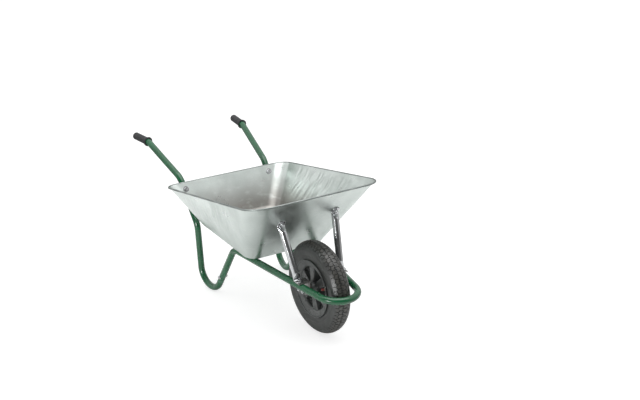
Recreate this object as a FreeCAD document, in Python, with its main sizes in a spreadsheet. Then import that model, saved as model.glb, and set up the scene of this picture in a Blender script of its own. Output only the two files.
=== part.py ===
"""Builder's wheelbarrow: pressed pan on a bent tube frame, with one pneumatic wheel.

Millimetres. +X runs forward to the wheel, +Y to the left of the person pushing and +Z up.
The origin is on the ground, under the middle of the barrow's length and width.
"""
import FreeCAD, Part
import Sketcher
import math
import os

from FreeCAD import Placement, Rotation, Vector

DRIVING_DIMENSIONS = {
    # wheel axle, and the plane that both rails and the nose lie in
    "axle_x": 444.9,
    "axle_height": 182.0,
    "rail_height": 218.1,
    "rail_slope": 0.059,
    "rail_splay": 0.157,
    "rail_half_gap": 98.5,
    "nose_radius": 78.4,
    # the upright plane that each side's legs and handle lie in, up to the wrist
    "side_half_gap": 106.2,
    "side_splay": 0.129,
    # frame tube, and the corners where its straight runs would meet, behind the axle
    "tube_radius": 13.45,
    "tube_wall": 1.5,
    "apex_back": 378.1,
    "apex_radius": 50.0,
    "foot_back": 614.9,
    "foot_drop": 149.6,
    "knee_back": 639.4,
    "knee_height": 264.4,
    "knee_radius": 100.0,
    "elbow_back": 749.0,
    "elbow_height": 442.5,
    "elbow_radius": 80.0,
    "wrist_back": 992.0,
    "wrist_height": 543.0,
    "wrist_half_gap": 230.5,
    "wrist_radius": 40.0,
    "handle_back": 1097.0,
    "handle_height": 545.8,
    "handle_half_gap": 242.5,
    "joint_height": 66.0,
    "spigot_length": 45.0,
    "spigot_gap": 0.1,
    # pan
    "pan_wall": 1.2,
    "pan_gap": 0.05,
    "base_front_back": 223.0,
    "base_half_width": 177.0,
    "base_rear_corner": 48.0,
    "base_front_corner": 55.0,
    "base_fillet": 30.0,
    "rim_front_ahead": 20.0,
    "rim_front_height": 554.0,
    "rim_rear_height": 428.0,
    "rim_half_width": 286.0,
    "rim_rear_corner": 54.0,
    "rim_front_corner": 85.0,
    "bead_radius": 3.5,
    "base_inset_share": 0.5,
    "rim_inset_share": 1.3,
    # grips
    "grip_length": 107.0,
    "grip_radius": 16.0,
    "grip_cap": 5.0,
    "grip_flange_radius": 22.0,
    "grip_flange_length": 6.0,
    "grip_edge": 4.0,
    "grip_mouth_gap": 0.6,
    # stays
    "stay_radius": 14.0,
    "stay_tab_thickness": 4.0,
    "stay_tab_width": 38.0,
    "stay_tab_reach": 14.0,
    "stay_foot_ahead": 15.0,
    "stay_top_height": 449.0,
    "stay_top_half_gap": 120.3,
    "stay_lip_length": 6.0,
    "stay_lip_rise": 1.0,
    "stay_swell_at": 22.0,
    "stay_swell_extra": 5.0,
    "stay_swell_share": 1.3,
    "stay_round_at": 38.0,
    "stay_slot_least": 0.8,
    "stay_flat_share": 0.6,
    # axle brackets
    "bracket_plate": 3.0,
    "bracket_inner": 60.0,
    "bracket_reach": 109.0,
    "bracket_rear": -6.0,
    "bracket_front": 36.0,
    "bracket_lug": 16.0,
    # M8 fasteners
    "bolt_radius": 4.0,
    "bolt_flats": 13.0,
    "bolt_head": 5.3,
    "bolt_tail": 3.0,
    "nut_height": 6.5,
    "hole_radius": 4.25,
    "hole_reach": 40.0,
    "wall_drill_reach": 10.0,
    "washer_radius": 12.5,
    "washer_thickness": 1.6,
    "rear_washer_lift": 0.3,
    "rear_bolt_height": 404.0,
    "joint_bolt_height": 87.0,
    # axle and its M12 fasteners
    "axle_radius": 6.0,
    "axle_half_length": 79.0,
    "axle_nut_flats": 19.0,
    "axle_nut_height": 10.5,
    "axle_washer_radius": 12.0,
    "axle_washer_thickness": 2.5,
    "axle_gap": 0.05,
    "spacer_radius": 10.0,
    # wheel
    "hub_half_length": 46.0,
    "hub_radius": 23.0,
    "bush_radius": 12.5,
    "bush_flange_radius": 22.0,
    "bush_flange": 3.5,
    "bush_depth": 40.0,
    "side_gap": 0.4,
    "rim_lip_radius": 113.5,
    "rim_lip_half_width": 38.0,
    "bead_seat_radius": 101.5,
    "web_half_width": 24.0,
    "core_gap": 0.05,
    "hub_flare": 5.0,
    "hub_flare_rise": 8.0,
    "face_step": 5.0,
    "lip_band": 3.0,
    "lip_edge": 1.0,
    "seat_edge": 2.0,
    "seat_edge_in": 4.0,
    "seat_in": 6.0,
    "seat_inner_in": 3.0,
    "well_depth": 9.0,
    "well_in": 9.0,
    "spoke_count": 6.0,
    "spoke_turn": 97.0,
    "opening_inner_radius": 31.0,
    "opening_outer_radius": 84.0,
    "opening_inner_turn": 12.5,
    "opening_outer_turn": 17.3,
    "opening_corner": 5.0,
    "tyre_radius": 182.0,
    "tyre_half_width": 39.5,
    "tyre_belly_radius": 146.0,
    "shoulder_turn": 33.0,
    "edge_turn": 60.0,
    "sidewall_turn": 24.0,
    "neck_gap": 2.0,
    "neck_step": 5.5,
    "tyre_wall": 6.0,
    "crown_ratio": 1.5,
    "toe_height": 5.0,
    "toe_in": 1.0,
    "heel_height": 4.0,
    "heel_out": 1.5,
    "lip_gap": 0.6,
    "lip_out": 2.5,
    "tube_rubber": 2.5,
    "tube_gap": 0.4,
    "tube_floor": 8.0,
    "tube_floor_in": 14.0,
    "fit_gap": 0.1,
    "valve_radius": 4.0,
    "valve_hole_radius": 4.3,
    "valve_cap_radius": 5.0,
    "valve_cap_length": 12.0,
    "valve_cap_grip": 9.0,
    "valve_cap_void": 0.2,
    "valve_turn": 17.0,
    "valve_base_radius": 106.0,
    "valve_base_across": 7.0,
    "valve_lean": 45.0,
    "valve_length": 51.0,
}

SIDES = {"left": 1, "right": -1}
Y_AXIS = Vector(0, 1, 0)
Z_AXIS = Vector(0, 0, 1)

doc = FreeCAD.newDocument("wheelbarrow")
sheet = doc.addObject("Spreadsheet::Sheet", "dims")
for row, (alias, value) in enumerate(DRIVING_DIMENSIONS.items(), start=1):
    sheet.set(f"A{row}", alias)
    sheet.set(f"B{row}", str(value))
    sheet.setAlias(f"B{row}", alias)
doc.recompute()

parts = []


def size(expression):
    """The value of an expression written with the sheet's aliases as dims.alias."""
    return float(sheet.evalExpression(expression))


def cell(alias):
    return size(f"dims.{alias}")


def subpart(shape_object, label):
    """Give an object the name of its file and keep it for export."""
    shape_object.Label = label
    parts.append(shape_object)
    return shape_object


def feature(name, shape, placement=None):
    """A Part::Feature that holds a shape made with Part's own functions."""
    holder = doc.addObject("Part::Feature", name)
    holder.Shape = shape
    if placement is not None:
        holder.Placement = placement
    return holder


def aim(position, direction):
    """A placement at position, with its own Z along direction."""
    return Placement(position, Rotation(Z_AXIS, direction))


# ---------------------------------------------------------------- where things are


def behind_axle(distance, height, half_gap, side):
    return Vector(cell("axle_x") - distance, side * half_gap, height)


def in_side_plane(distance, height, side):
    """A point of the upright plane of one side's legs, which spreads towards the handles."""
    half_gap = cell("side_half_gap") + cell("side_splay") * distance
    return behind_axle(distance, height, half_gap, side)


def rail_height_at(x):
    return cell("rail_height") - cell("rail_slope") * (x - cell("axle_x"))


def rail_half_gap_at(ahead):
    return cell("rail_half_gap") - cell("rail_splay") * ahead


def rail_apex(side):
    """The corner where a rail would meet its front leg."""
    back = cell("apex_back")
    height = rail_height_at(cell("axle_x") - back)
    return behind_axle(back, height, rail_half_gap_at(-back), side)


def rail_frame():
    """On the rails' plane above the axle: its X runs down the slope, its Z is square to it."""
    tilt = Rotation(Y_AXIS, math.degrees(math.atan(cell("rail_slope"))))
    return Placement(Vector(cell("axle_x"), 0, cell("rail_height")), tilt)


def rail_point(ahead, up, side):
    """A point above one rail's centre line, given in the rail frame."""
    return rail_frame().multVec(Vector(ahead, side * rail_half_gap_at(ahead), up))


def line_at_height(low, high, z):
    """Where the line through two points reaches a height."""
    return low + (high - low) * ((z - low.z) / (high.z - low.z))


def foot_radius(before, corner, after):
    """The bend radius that lets the foot's tube just touch the ground."""
    first = (before - corner).normalize()
    second = (after - corner).normalize()
    half_angle = first.getAngle(second) / 2
    middle = (first + second).normalize()
    rise = middle.z / math.sin(half_angle) - 1
    return (cell("tube_radius") - corner.z) / rise


def handle_corners(side):
    """Corners of the handle tube, from the grip down to the foot, then the apex it points at."""
    return [
        behind_axle(cell("handle_back"), cell("handle_height"), cell("handle_half_gap"), side),
        behind_axle(cell("wrist_back"), cell("wrist_height"), cell("wrist_half_gap"), side),
        in_side_plane(cell("elbow_back"), cell("elbow_height"), side),
        in_side_plane(cell("knee_back"), cell("knee_height"), side),
        in_side_plane(cell("foot_back"), -cell("foot_drop"), side),
        rail_apex(side),
    ]


def front_leg_point(z, side):
    """A point on the centre line of the straight front leg."""
    corners = handle_corners(side)
    return line_at_height(corners[4], corners[5], z)


def leg_joint_direction(side):
    """Inwards, square to the upright plane of one side's legs."""
    corners = handle_corners(side)
    across = (corners[3] - corners[4]).cross(corners[5] - corners[4]).normalize()
    return across if across.y * side < 0 else -across


def rear_wall_normal():
    """Square to the pan's rear wall, pointing back and down, away from the pan."""
    corners = handle_corners(1)
    along = corners[2] - corners[3]
    return Vector(-along.z, 0, along.x).normalize()


def rear_wall_x(z):
    """The outside of the rear wall, which lies along the handle tubes."""
    corners = handle_corners(1)
    offset = rear_wall_normal() * (cell("tube_radius") + cell("pan_gap"))
    return line_at_height(corners[3] - offset, corners[2] - offset, z).x


def front_wall_line():
    """Two points on the outside of the front wall in the middle plane: base edge and rim."""
    base_x = cell("axle_x") - cell("base_front_back")
    base_z = rail_height_at(base_x) + cell("tube_radius") + cell("pan_gap")
    rim = Vector(cell("axle_x") + cell("rim_front_ahead"), 0, cell("rim_front_height"))
    return Vector(base_x, 0, base_z), rim


def front_wall_normal():
    """Square to the front wall, pointing forward and down, away from the pan."""
    low, high = front_wall_line()
    along = high - low
    return Vector(along.z, 0, -along.x).normalize()


# ---------------------------------------------------------------- general shapes


def rounded_path(corners, radii):
    """A wire of straight runs joined by tangent arcs, one radius for each inner corner."""
    edges = []
    start = corners[0]
    for before, corner, after, radius in zip(corners, corners[1:], corners[2:], radii):
        back = (before - corner).normalize()
        ahead = (after - corner).normalize()
        half_angle = back.getAngle(ahead) / 2
        reach = radius / math.tan(half_angle)
        middle = (back + ahead).normalize()
        arc_start = corner + back * reach
        arc_end = corner + ahead * reach
        arc_middle = corner + middle * (radius / math.sin(half_angle) - radius)
        edges.append(Part.LineSegment(start, arc_start).toShape())
        edges.append(Part.Arc(arc_start, arc_middle, arc_end).toShape())
        start = arc_end
    edges.append(Part.LineSegment(start, corners[-1]).toShape())
    return Part.Wire(edges)


def sweep(name, path, radius_expression):
    """A round bar along a path."""
    spine = feature(f"{name}_path", path)
    first = path.Edges[0]
    circle = doc.addObject("Part::Circle", f"{name}_section")
    circle.setExpression("Radius", radius_expression)
    circle.Placement = aim(first.valueAt(first.FirstParameter), first.tangentAt(first.FirstParameter))
    bar = doc.addObject("Part::Sweep", name)
    bar.Sections = [circle]
    bar.Spine = (spine, [f"Edge{i}" for i in range(1, len(path.Edges) + 1)])
    bar.Solid = True
    return bar


def cut(name, base, tool):
    result = doc.addObject("Part::Cut", name)
    result.Base = base
    result.Tool = tool
    return result


def fuse(name, shapes):
    result = doc.addObject("Part::MultiFuse", name)
    result.Shapes = shapes
    return result


def cylinder(name, radius, length, placement):
    """A cylinder from the placement's origin along its Z; radius and length are expressions."""
    result = doc.addObject("Part::Cylinder", name)
    result.setExpression("Radius", radius)
    result.setExpression("Height", length)
    result.Placement = placement
    return result


def hexagon(name, flats, height, placement):
    """A hexagonal prism, given across its flats."""
    result = doc.addObject("Part::Prism", name)
    result.Polygon = 6
    result.setExpression("Circumradius", f"{flats} / sqrt(3)")
    result.setExpression("Height", height)
    result.Placement = placement
    return result


def hole(name, centre, direction):
    """A long cylinder that cuts a hole through a wall or a tube."""
    start = centre - Vector(direction).normalize() * cell("hole_reach")
    return cylinder(name, "dims.hole_radius", "2 * dims.hole_reach", aim(start, direction))


def drill(shape, centre, normal):
    """A wall with a bolt hole through it."""
    reach = cell("wall_drill_reach")
    return shape.cut(Part.makeCylinder(cell("hole_radius"), 2 * reach, centre - normal * reach, normal))


def tube(name, path):
    """A round tube of the frame's size along a path."""
    outside = sweep(f"{name}_outside", path, "dims.tube_radius")
    inside = sweep(f"{name}_inside", path, "dims.tube_radius - dims.tube_wall")
    return cut(f"{name}_bent", outside, inside)


def ring(name, outer, inner, length, placement):
    """A washer or spacer; every size is an expression."""
    outside = cylinder(f"{name}_outside", outer, length, placement)
    inside = cylinder(f"{name}_inside", inner, length, placement)
    return cut(name, outside, inside)


def bolt(name, under_head, direction, length):
    """A hexagon bolt whose shank starts at under_head and runs along direction."""
    direction = Vector(direction).normalize()
    top = under_head - direction * cell("bolt_head")
    head = hexagon(f"{name}_head", "dims.bolt_flats", "dims.bolt_head", aim(top, direction))
    shank = cylinder(f"{name}_shank", "dims.bolt_radius", length, aim(under_head, direction))
    return fuse(name, [head, shank])


def nut(name, face, direction):
    """A hexagon nut that bears on face and grows along direction."""
    place = aim(face, direction)
    body = hexagon(f"{name}_body", "dims.bolt_flats", "dims.nut_height", place)
    bore = cylinder(f"{name}_bore", "dims.bolt_radius + dims.axle_gap", "dims.nut_height", place)
    return cut(name, body, bore)


def group(label, members):
    """Identical pieces, as separate solids of one sub-part."""
    compound = doc.addObject("Part::Compound", label)
    compound.Links = members
    return subpart(compound, label)


def origin_plane(body, role):
    return next(item for item in body.Origin.OriginFeatures if item.Role == role)


def outline(body, name, role, points):
    """A closed polygon whose corners are bound to the sheet; points are pairs of expressions."""
    sketch = body.newObject("Sketcher::SketchObject", name)
    sketch.AttachmentSupport = [(origin_plane(body, role), "")]
    sketch.MapMode = "FlatFace"
    corners = [Vector(size(across), size(up), 0) for across, up in points]
    lines = [Part.LineSegment(a, b) for a, b in zip(corners, corners[1:] + corners[:1])]
    sketch.addGeometry(lines, False)
    for index in range(len(lines)):
        following = (index + 1) % len(lines)
        sketch.addConstraint(Sketcher.Constraint("Coincident", index, 2, following, 1))
    for index, (across, up) in enumerate(points):
        for kind, expression in (("DistanceX", across), ("DistanceY", up)):
            constraint = Sketcher.Constraint(kind, -1, 1, index, 1, size(expression))
            number = sketch.addConstraint(constraint)
            sketch.setExpression(f"Constraints[{number}]", expression)
    return sketch


def turned(name, points):
    """A body turned about its Z from an outline of (radius, height) expressions."""
    body = doc.addObject("PartDesign::Body", name)
    sketch = outline(body, f"{name}_outline", "XZ_Plane", points)
    revolution = body.newObject("PartDesign::Revolution", f"{name}_turned")
    revolution.Profile = sketch
    revolution.ReferenceAxis = (sketch, ["V_Axis"])
    revolution.Angle = 360
    doc.recompute()
    return body


# ---------------------------------------------------------------- frame


def front_frame():
    """One bent tube: up the left front leg, along the rail, round the nose and back."""
    meeting_x = cell("axle_x") + cell("rail_half_gap") / cell("rail_splay")
    corners = [
        front_leg_point(cell("joint_height"), 1),
        rail_apex(1),
        Vector(meeting_x, 0, rail_height_at(meeting_x)),
        rail_apex(-1),
        front_leg_point(cell("joint_height"), -1),
    ]
    radii = [cell("apex_radius"), cell("nose_radius"), cell("apex_radius")]
    bent = tube("front_frame", rounded_path(corners, radii))
    down = rail_frame().Rotation.multVec(Z_AXIS)
    holes = []
    for side_name, side in SIDES.items():
        centre = rail_point(cell("stay_foot_ahead"), 0, side)
        holes.append(hole(f"{side_name}_stay_foot_hole", centre, down))
        joint = front_leg_point(cell("joint_bolt_height"), side)
        holes.append(hole(f"{side_name}_front_joint_hole", joint, leg_joint_direction(side)))
    subpart(cut("drilled_front_frame", bent, fuse("front_frame_holes", holes)), "front_frame_tube")


def handle_tube(side_name, side):
    """Handle, rear leg and foot in one tube, with a reduced end that enters the front frame."""
    name = f"{side_name}_handle"
    corners = handle_corners(side)
    radii = [
        cell("wrist_radius"),
        cell("elbow_radius"),
        cell("knee_radius"),
        foot_radius(corners[3], corners[4], corners[5]),
    ]
    shoulder = front_leg_point(cell("joint_height"), side)
    along = (corners[5] - corners[4]).normalize()
    bent = tube(name, rounded_path(corners[:5] + [shoulder], radii))
    spigot_outer = "dims.tube_radius - dims.tube_wall - dims.spigot_gap"
    spigot_inner = f"{spigot_outer} - dims.tube_wall"
    overlap = along * cell("tube_wall")
    place = aim(shoulder - overlap, along)
    spigot = ring(f"{name}_spigot", spigot_outer, spigot_inner,
                  "dims.spigot_length + dims.tube_wall", place)
    collar = ring(f"{name}_collar", "dims.tube_radius", spigot_inner, "dims.tube_wall", place)
    whole = fuse(f"{name}_whole", [bent, spigot, collar])
    pan_hole = line_at_height(corners[3], corners[2], rear_bolt_on_tube().z)
    joint = front_leg_point(cell("joint_bolt_height"), side)
    holes = [
        hole(f"{name}_pan_hole", pan_hole, rear_wall_normal()),
        hole(f"{name}_joint_hole", joint, leg_joint_direction(side)),
    ]
    subpart(cut(f"drilled_{name}", whole, fuse(f"{name}_holes", holes)), f"{side_name}_handle_tube")


def rear_bolt_on_wall():
    """Where the rear bolts cross the outside of the rear wall, in the middle plane."""
    return Vector(rear_wall_x(cell("rear_bolt_height")), 0, cell("rear_bolt_height"))


def rear_bolt_on_tube():
    """Where the rear bolts cross the middle of the handle tubes, seen from the side."""
    return rear_bolt_on_wall() + rear_wall_normal() * (cell("tube_radius") + cell("pan_gap"))


def grip(side_name, side):
    """A moulded sleeve with a closed end and a hand guard flange."""
    name = f"{side_name}_grip"
    bore = "dims.tube_radius + dims.fit_gap"
    mouth = "dims.tube_radius + dims.grip_mouth_gap"
    front = "dims.grip_cap - dims.grip_length"
    behind_flange = f"{front} + dims.grip_flange_length"
    body = turned(name, [
        ("0", "0"),
        ("0", "dims.grip_cap"),
        ("dims.grip_radius - dims.grip_edge", "dims.grip_cap"),
        ("dims.grip_radius", "dims.grip_cap - dims.grip_edge"),
        ("dims.grip_radius", behind_flange),
        ("dims.grip_flange_radius", behind_flange),
        ("dims.grip_flange_radius", front),
        (mouth, front),
        (mouth, behind_flange),
        (bore, behind_flange),
        (bore, "0"),
    ])
    end = handle_corners(side)[0]
    wrist = handle_corners(side)[1]
    outward = (end - wrist).normalize()
    body.Placement = aim(end + outward * cell("pan_gap"), outward)
    subpart(body, name)


# ---------------------------------------------------------------- pan


def rounded_rectangle(half_length, half_width, front_radius, rear_radius, placement):
    """A closed wire of four sides and four round corners, centred on the placement."""
    edges = []
    quarter = math.pi / 2
    corners = [
        (half_length, half_width, front_radius),
        (-half_length, half_width, rear_radius),
        (-half_length, -half_width, rear_radius),
        (half_length, -half_width, front_radius),
    ]
    arcs = []
    for index, (x, y, radius) in enumerate(corners):
        centre = Vector(x - math.copysign(radius, x), y - math.copysign(radius, y), 0)
        turns = [quarter * (index + part) for part in (0, 0.5, 1)]
        arcs.append([centre + Vector(math.cos(a), math.sin(a), 0) * radius for a in turns])
    for index, points in enumerate(arcs):
        following = arcs[(index + 1) % len(arcs)]
        edges.append(Part.Arc(*points).toShape())
        edges.append(Part.LineSegment(points[2], following[0]).toShape())
    wire = Part.Wire(edges)
    wire.Placement = placement
    return wire


def section_frame(rear, front):
    """A frame halfway between two points of the middle plane, with X from rear to front."""
    slope = math.degrees(math.atan2(rear.z - front.z, front.x - rear.x))
    return Placement((rear + front) * 0.5, Rotation(Y_AXIS, slope))


def pan_sections():
    """Frames and half lengths of the pan's outside at its base and at its rim."""
    base_front, rim_front = front_wall_line()
    base_rear_z = base_front.z
    for _ in range(5):
        base_rear_x = rear_wall_x(base_rear_z)
        base_rear_z = base_front.z + cell("rail_slope") * (base_front.x - base_rear_x)
    base_rear = Vector(base_rear_x, 0, base_rear_z)
    rim_rear = Vector(rear_wall_x(cell("rim_rear_height")), 0, cell("rim_rear_height"))
    base = (section_frame(base_rear, base_front), (base_front - base_rear).Length / 2)
    rim = (section_frame(rim_rear, rim_front), (rim_front - rim_rear).Length / 2)
    return base, rim


def pan_outline(level, half_length, offset, placement):
    """The pan's outline at its base or rim, moved outwards all round by offset."""
    half_width = cell(f"{level}_half_width") + offset
    front_radius = cell(f"{level}_front_corner") + offset
    rear_radius = cell(f"{level}_rear_corner") + offset
    return rounded_rectangle(half_length + offset, half_width, front_radius, rear_radius, placement)


def pan_block(inset):
    """The pan's outer form, or the hollow inside it, as a solid up to the rim."""
    (base_frame, base_half), (rim_frame, rim_half) = pan_sections()
    base_inset = cell("base_inset_share") * inset
    rim_inset = cell("rim_inset_share") * inset
    base_frame = base_frame.multiply(Placement(Vector(0, 0, inset), Rotation()))
    base_wire = pan_outline("base", base_half, -base_inset, base_frame)
    rim_wire = pan_outline("rim", rim_half, -rim_inset, rim_frame)
    block = Part.makeLoft([base_wire, rim_wire], True, True)
    floor = min(block.Faces, key=lambda face: face.CenterOfMass.z)
    return block.makeFillet(cell("base_fillet") - inset, floor.Edges)


def pan():
    """A pressed steel tray with a rolled edge, flattened where the handle tubes pass it."""
    rim_frame, rim_half = pan_sections()[1]
    tray = pan_block(0).cut(pan_block(cell("pan_wall")))
    proud = cell("bead_radius") - cell("pan_wall")
    bead_path = pan_outline("rim", rim_half, proud, rim_frame)
    start = bead_path.Edges[0]
    bead_section = Part.Circle(start.valueAt(start.FirstParameter),
                               start.tangentAt(start.FirstParameter), cell("bead_radius"))
    bead = bead_path.makePipeShell([Part.Wire(bead_section.toShape())], True, False)
    for side in SIDES.values():
        corners = handle_corners(side)
        low = corners[3]
        direction = corners[2] - low
        clearance = cell("tube_radius") + cell("pan_gap")
        bead = bead.cut(Part.makeCylinder(clearance, 2 * direction.Length, low, direction))
    shell = tray.fuse(bead)
    for side in SIDES.values():
        rear = rear_bolt_on_wall() + Vector(0, side * rear_bolt_half_gap(), 0)
        front = stay_top(side)
        for centre, normal in ((rear, rear_wall_normal()), (front, front_wall_normal())):
            shell = drill(shell, centre, normal)
    subpart(feature("pan", shell), "pan")


def rear_bolt_half_gap():
    corners = handle_corners(1)
    return line_at_height(corners[3], corners[2], rear_bolt_on_tube().z).y


# ---------------------------------------------------------------- stays


def stay_top(side):
    """Where a stay's top bolt crosses the outside of the front wall."""
    low, high = front_wall_line()
    point = line_at_height(low, high, cell("stay_top_height"))
    return Vector(point.x, side * cell("stay_top_half_gap"), point.z)


def stay_foot(side):
    """Where a stay's foot bolt crosses the underside of its lower tab."""
    up = cell("tube_radius") + cell("bracket_plate")
    return rail_point(cell("stay_foot_ahead"), up, side)


def oval(width, thickness, turn_frame, along):
    """A section of the stay: as wide as width and as thick as thickness, with round ends."""
    half = thickness / 2
    flat = max(width / 2 - half, half * cell("stay_flat_share"))
    rise = half if width > thickness else math.sqrt(half * half - flat * flat)
    tip = flat + half if width > thickness else half
    points = [Vector(rise, -flat, along), Vector(rise, flat, along)]
    edges = []
    if width > thickness:
        edges.append(Part.LineSegment(points[0], points[1]).toShape())
    else:
        edges.append(Part.Arc(points[0], Vector(half, 0, along), points[1]).toShape())
    lower = [Vector(-rise, flat, along), Vector(-rise, -flat, along)]
    edges.append(Part.Arc(points[1], Vector(0, tip, along), lower[0]).toShape())
    if width > thickness:
        edges.append(Part.LineSegment(lower[0], lower[1]).toShape())
    else:
        edges.append(Part.Arc(lower[0], Vector(-half, 0, along), lower[1]).toShape())
    edges.append(Part.Arc(lower[1], Vector(0, -tip, along), points[0]).toShape())
    wire = Part.Wire(edges)
    wire.Placement = turn_frame
    return wire


def tab(bend, direction, normal, thickness, width, reach):
    """A flat end from the bend to its hole and round beyond it, thickness along normal."""
    across = normal.cross(direction).normalize()
    frame = FreeCAD.Matrix(
        direction.x, across.x, normal.x, bend.x,
        direction.y, across.y, normal.y, bend.y,
        direction.z, across.z, normal.z, bend.z,
        0, 0, 0, 1,
    )
    half = thickness / 2
    plate = Part.makeBox(reach, width, thickness, Vector(0, -width / 2, -half))
    end = Part.makeCylinder(width / 2, thickness, Vector(reach, 0, -half), Z_AXIS)
    end = end.common(Part.makeBox(2 * width, width, thickness, Vector(0, -width / 2, -half)))
    shape = plate.fuse(end)
    shape.transformShape(frame)
    return shape


def stay(side_name, side):
    """A round tube squashed flat at both ends and bent to lie on the wall and on the rail."""
    thickness = cell("stay_tab_thickness")
    width = cell("stay_tab_width")
    reach = cell("stay_tab_reach")
    wall = front_wall_normal()
    rail_up = rail_frame().Rotation.multVec(Z_AXIS)
    rail_ahead = rail_frame().Rotation.multVec(Vector(1, 0, 0))
    low, high = front_wall_line()
    wall_up = (high - low).normalize()
    foot_hole = stay_foot(side) + rail_up * (thickness / 2 + cell("pan_gap"))
    top_hole = stay_top(side) + wall * (thickness / 2 + cell("pan_gap"))
    foot_bend = foot_hole - rail_ahead * reach
    top_bend = top_hole - wall_up * reach
    along = (top_bend - foot_bend).normalize()
    length = (top_bend - foot_bend).Length
    sideways = Y_AXIS - along * along.dot(Y_AXIS)
    sideways = sideways.normalize()
    forward = sideways.cross(along)
    frame = Placement(FreeCAD.Matrix(
        forward.x, sideways.x, along.x, foot_bend.x,
        forward.y, sideways.y, along.y, foot_bend.y,
        forward.z, sideways.z, along.z, foot_bend.z,
        0, 0, 0, 1,
    ))
    wall_thickness = cell("tube_wall")
    radius = cell("stay_radius")

    def loft(inset):
        slot = max(thickness - 2 * inset, cell("stay_slot_least"))
        half = radius - inset
        swell = cell("stay_swell_share") * half
        stations = [
            (0, width - 2 * inset, slot),
            (cell("stay_lip_length"), width - 2 * inset, slot + cell("stay_lip_rise")),
            (cell("stay_swell_at"), 2 * half + cell("stay_swell_extra"), swell),
            (cell("stay_round_at"), 2 * half, 2 * half),
        ]
        stations += [(length - at, wide, thick) for at, wide, thick in reversed(stations)]
        sections = [oval(wide, thick, frame, at) for at, wide, thick in stations]
        return Part.makeLoft(sections, True, True)

    outside = loft(0)
    foot_tab = tab(foot_bend, rail_ahead, rail_up, thickness, width, reach)
    top_tab = tab(top_bend, wall_up, wall, thickness, width, reach)
    bends = [
        Part.makeCylinder(thickness / 2, width, bend - Y_AXIS * (width / 2), Y_AXIS)
        for bend in (foot_bend, top_bend)
    ]
    shape = outside.multiFuse([foot_tab, top_tab] + bends)
    shape = shape.cut(loft(wall_thickness))
    for centre, normal in ((foot_hole, rail_up), (top_hole, wall)):
        shape = drill(shape, centre, normal)
    subpart(feature(f"{side_name}_stay", shape), f"{side_name}_stay")


# ---------------------------------------------------------------- axle and brackets


def axle_in_rail_frame():
    """The axle's middle, seen from the rail frame."""
    centre = Vector(cell("axle_x"), 0, cell("axle_height"))
    return rail_frame().inverse().multVec(centre)


def axle_bracket(side_name, side):
    """A folded plate: a flange that is bolted on top of the rail and a lug that holds the axle."""
    plate = cell("bracket_plate")
    inner = cell("bracket_inner")
    rear = cell("bracket_rear")
    front = cell("bracket_front")
    top = cell("tube_radius") + plate
    axle = axle_in_rail_frame()
    lug = cell("bracket_lug")
    flange = Part.makeBox(front - rear, cell("bracket_reach") - inner, plate,
                          Vector(rear, inner, top - plate))
    outline_points = [
        Vector(rear, inner, top),
        Vector(front, inner, top),
        Vector(front, inner, top - 2 * lug),
        Vector(axle.x + lug, inner, axle.z),
        Vector(axle.x - lug, inner, axle.z),
        Vector(axle.x - lug, inner, axle.z + 2 * lug),
        Vector(rear, inner, axle.z + 2 * lug),
    ]
    cheek = Part.Face(Part.makePolygon(outline_points + outline_points[:1]))
    cheek = cheek.extrude(Y_AXIS * plate)
    lug_end = Part.makeCylinder(lug, plate, Vector(axle.x, inner, axle.z), Y_AXIS)
    shape = flange.multiFuse([cheek, lug_end]).removeSplitter()
    axle_hole = cell("axle_radius") + cell("axle_gap")
    shape = shape.cut(Part.makeCylinder(axle_hole, inner + 2 * plate, Vector(axle.x, 0, axle.z), Y_AXIS))
    foot = Vector(cell("stay_foot_ahead"), rail_half_gap_at(cell("stay_foot_ahead")), 0)
    shape = shape.cut(Part.makeCylinder(cell("hole_radius"), 2 * top, foot, Z_AXIS))
    if side < 0:
        shape = shape.mirror(Vector(0, 0, 0), Y_AXIS)
    subpart(feature(f"{side_name}_bracket", shape, rail_frame()), f"{side_name}_axle_bracket")


def on_axle(distance, side):
    return Vector(cell("axle_x"), side * distance, cell("axle_height"))


def axle():
    """The fixed axle with its spacers, washers and nuts."""
    rod = cylinder("axle_rod", "dims.axle_radius", "2 * dims.axle_half_length",
                   aim(on_axle(cell("axle_half_length"), -1), Y_AXIS))
    subpart(rod, "axle")
    hub_side = cell("hub_half_length") + cell("bush_flange") + cell("side_gap")
    plate_outside = cell("bracket_inner") + cell("bracket_plate")
    bore = "dims.axle_radius + dims.axle_gap"
    spacers = []
    washers = []
    nuts = []
    for side_name, side in SIDES.items():
        outward = Y_AXIS * side
        spacers.append(ring(f"{side_name}_spacer", "dims.spacer_radius", bore,
                            f"dims.bracket_inner - {hub_side}", aim(on_axle(hub_side, side), outward)))
        washers.append(ring(f"{side_name}_axle_washer", "dims.axle_washer_radius", bore,
                            "dims.axle_washer_thickness", aim(on_axle(plate_outside, side), outward)))
        nut_face = plate_outside + cell("axle_washer_thickness")
        place = aim(on_axle(nut_face, side), outward)
        block = hexagon(f"{side_name}_axle_nut_block", "dims.axle_nut_flats",
                        "dims.axle_nut_height", place)
        bore_tool = cylinder(f"{side_name}_axle_nut_bore", bore, "dims.axle_nut_height", place)
        nuts.append(cut(f"{side_name}_axle_nut", block, bore_tool))
    group("axle_spacers", spacers)
    group("axle_washers", washers)
    group("axle_nuts", nuts)


# ---------------------------------------------------------------- M8 fasteners


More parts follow.
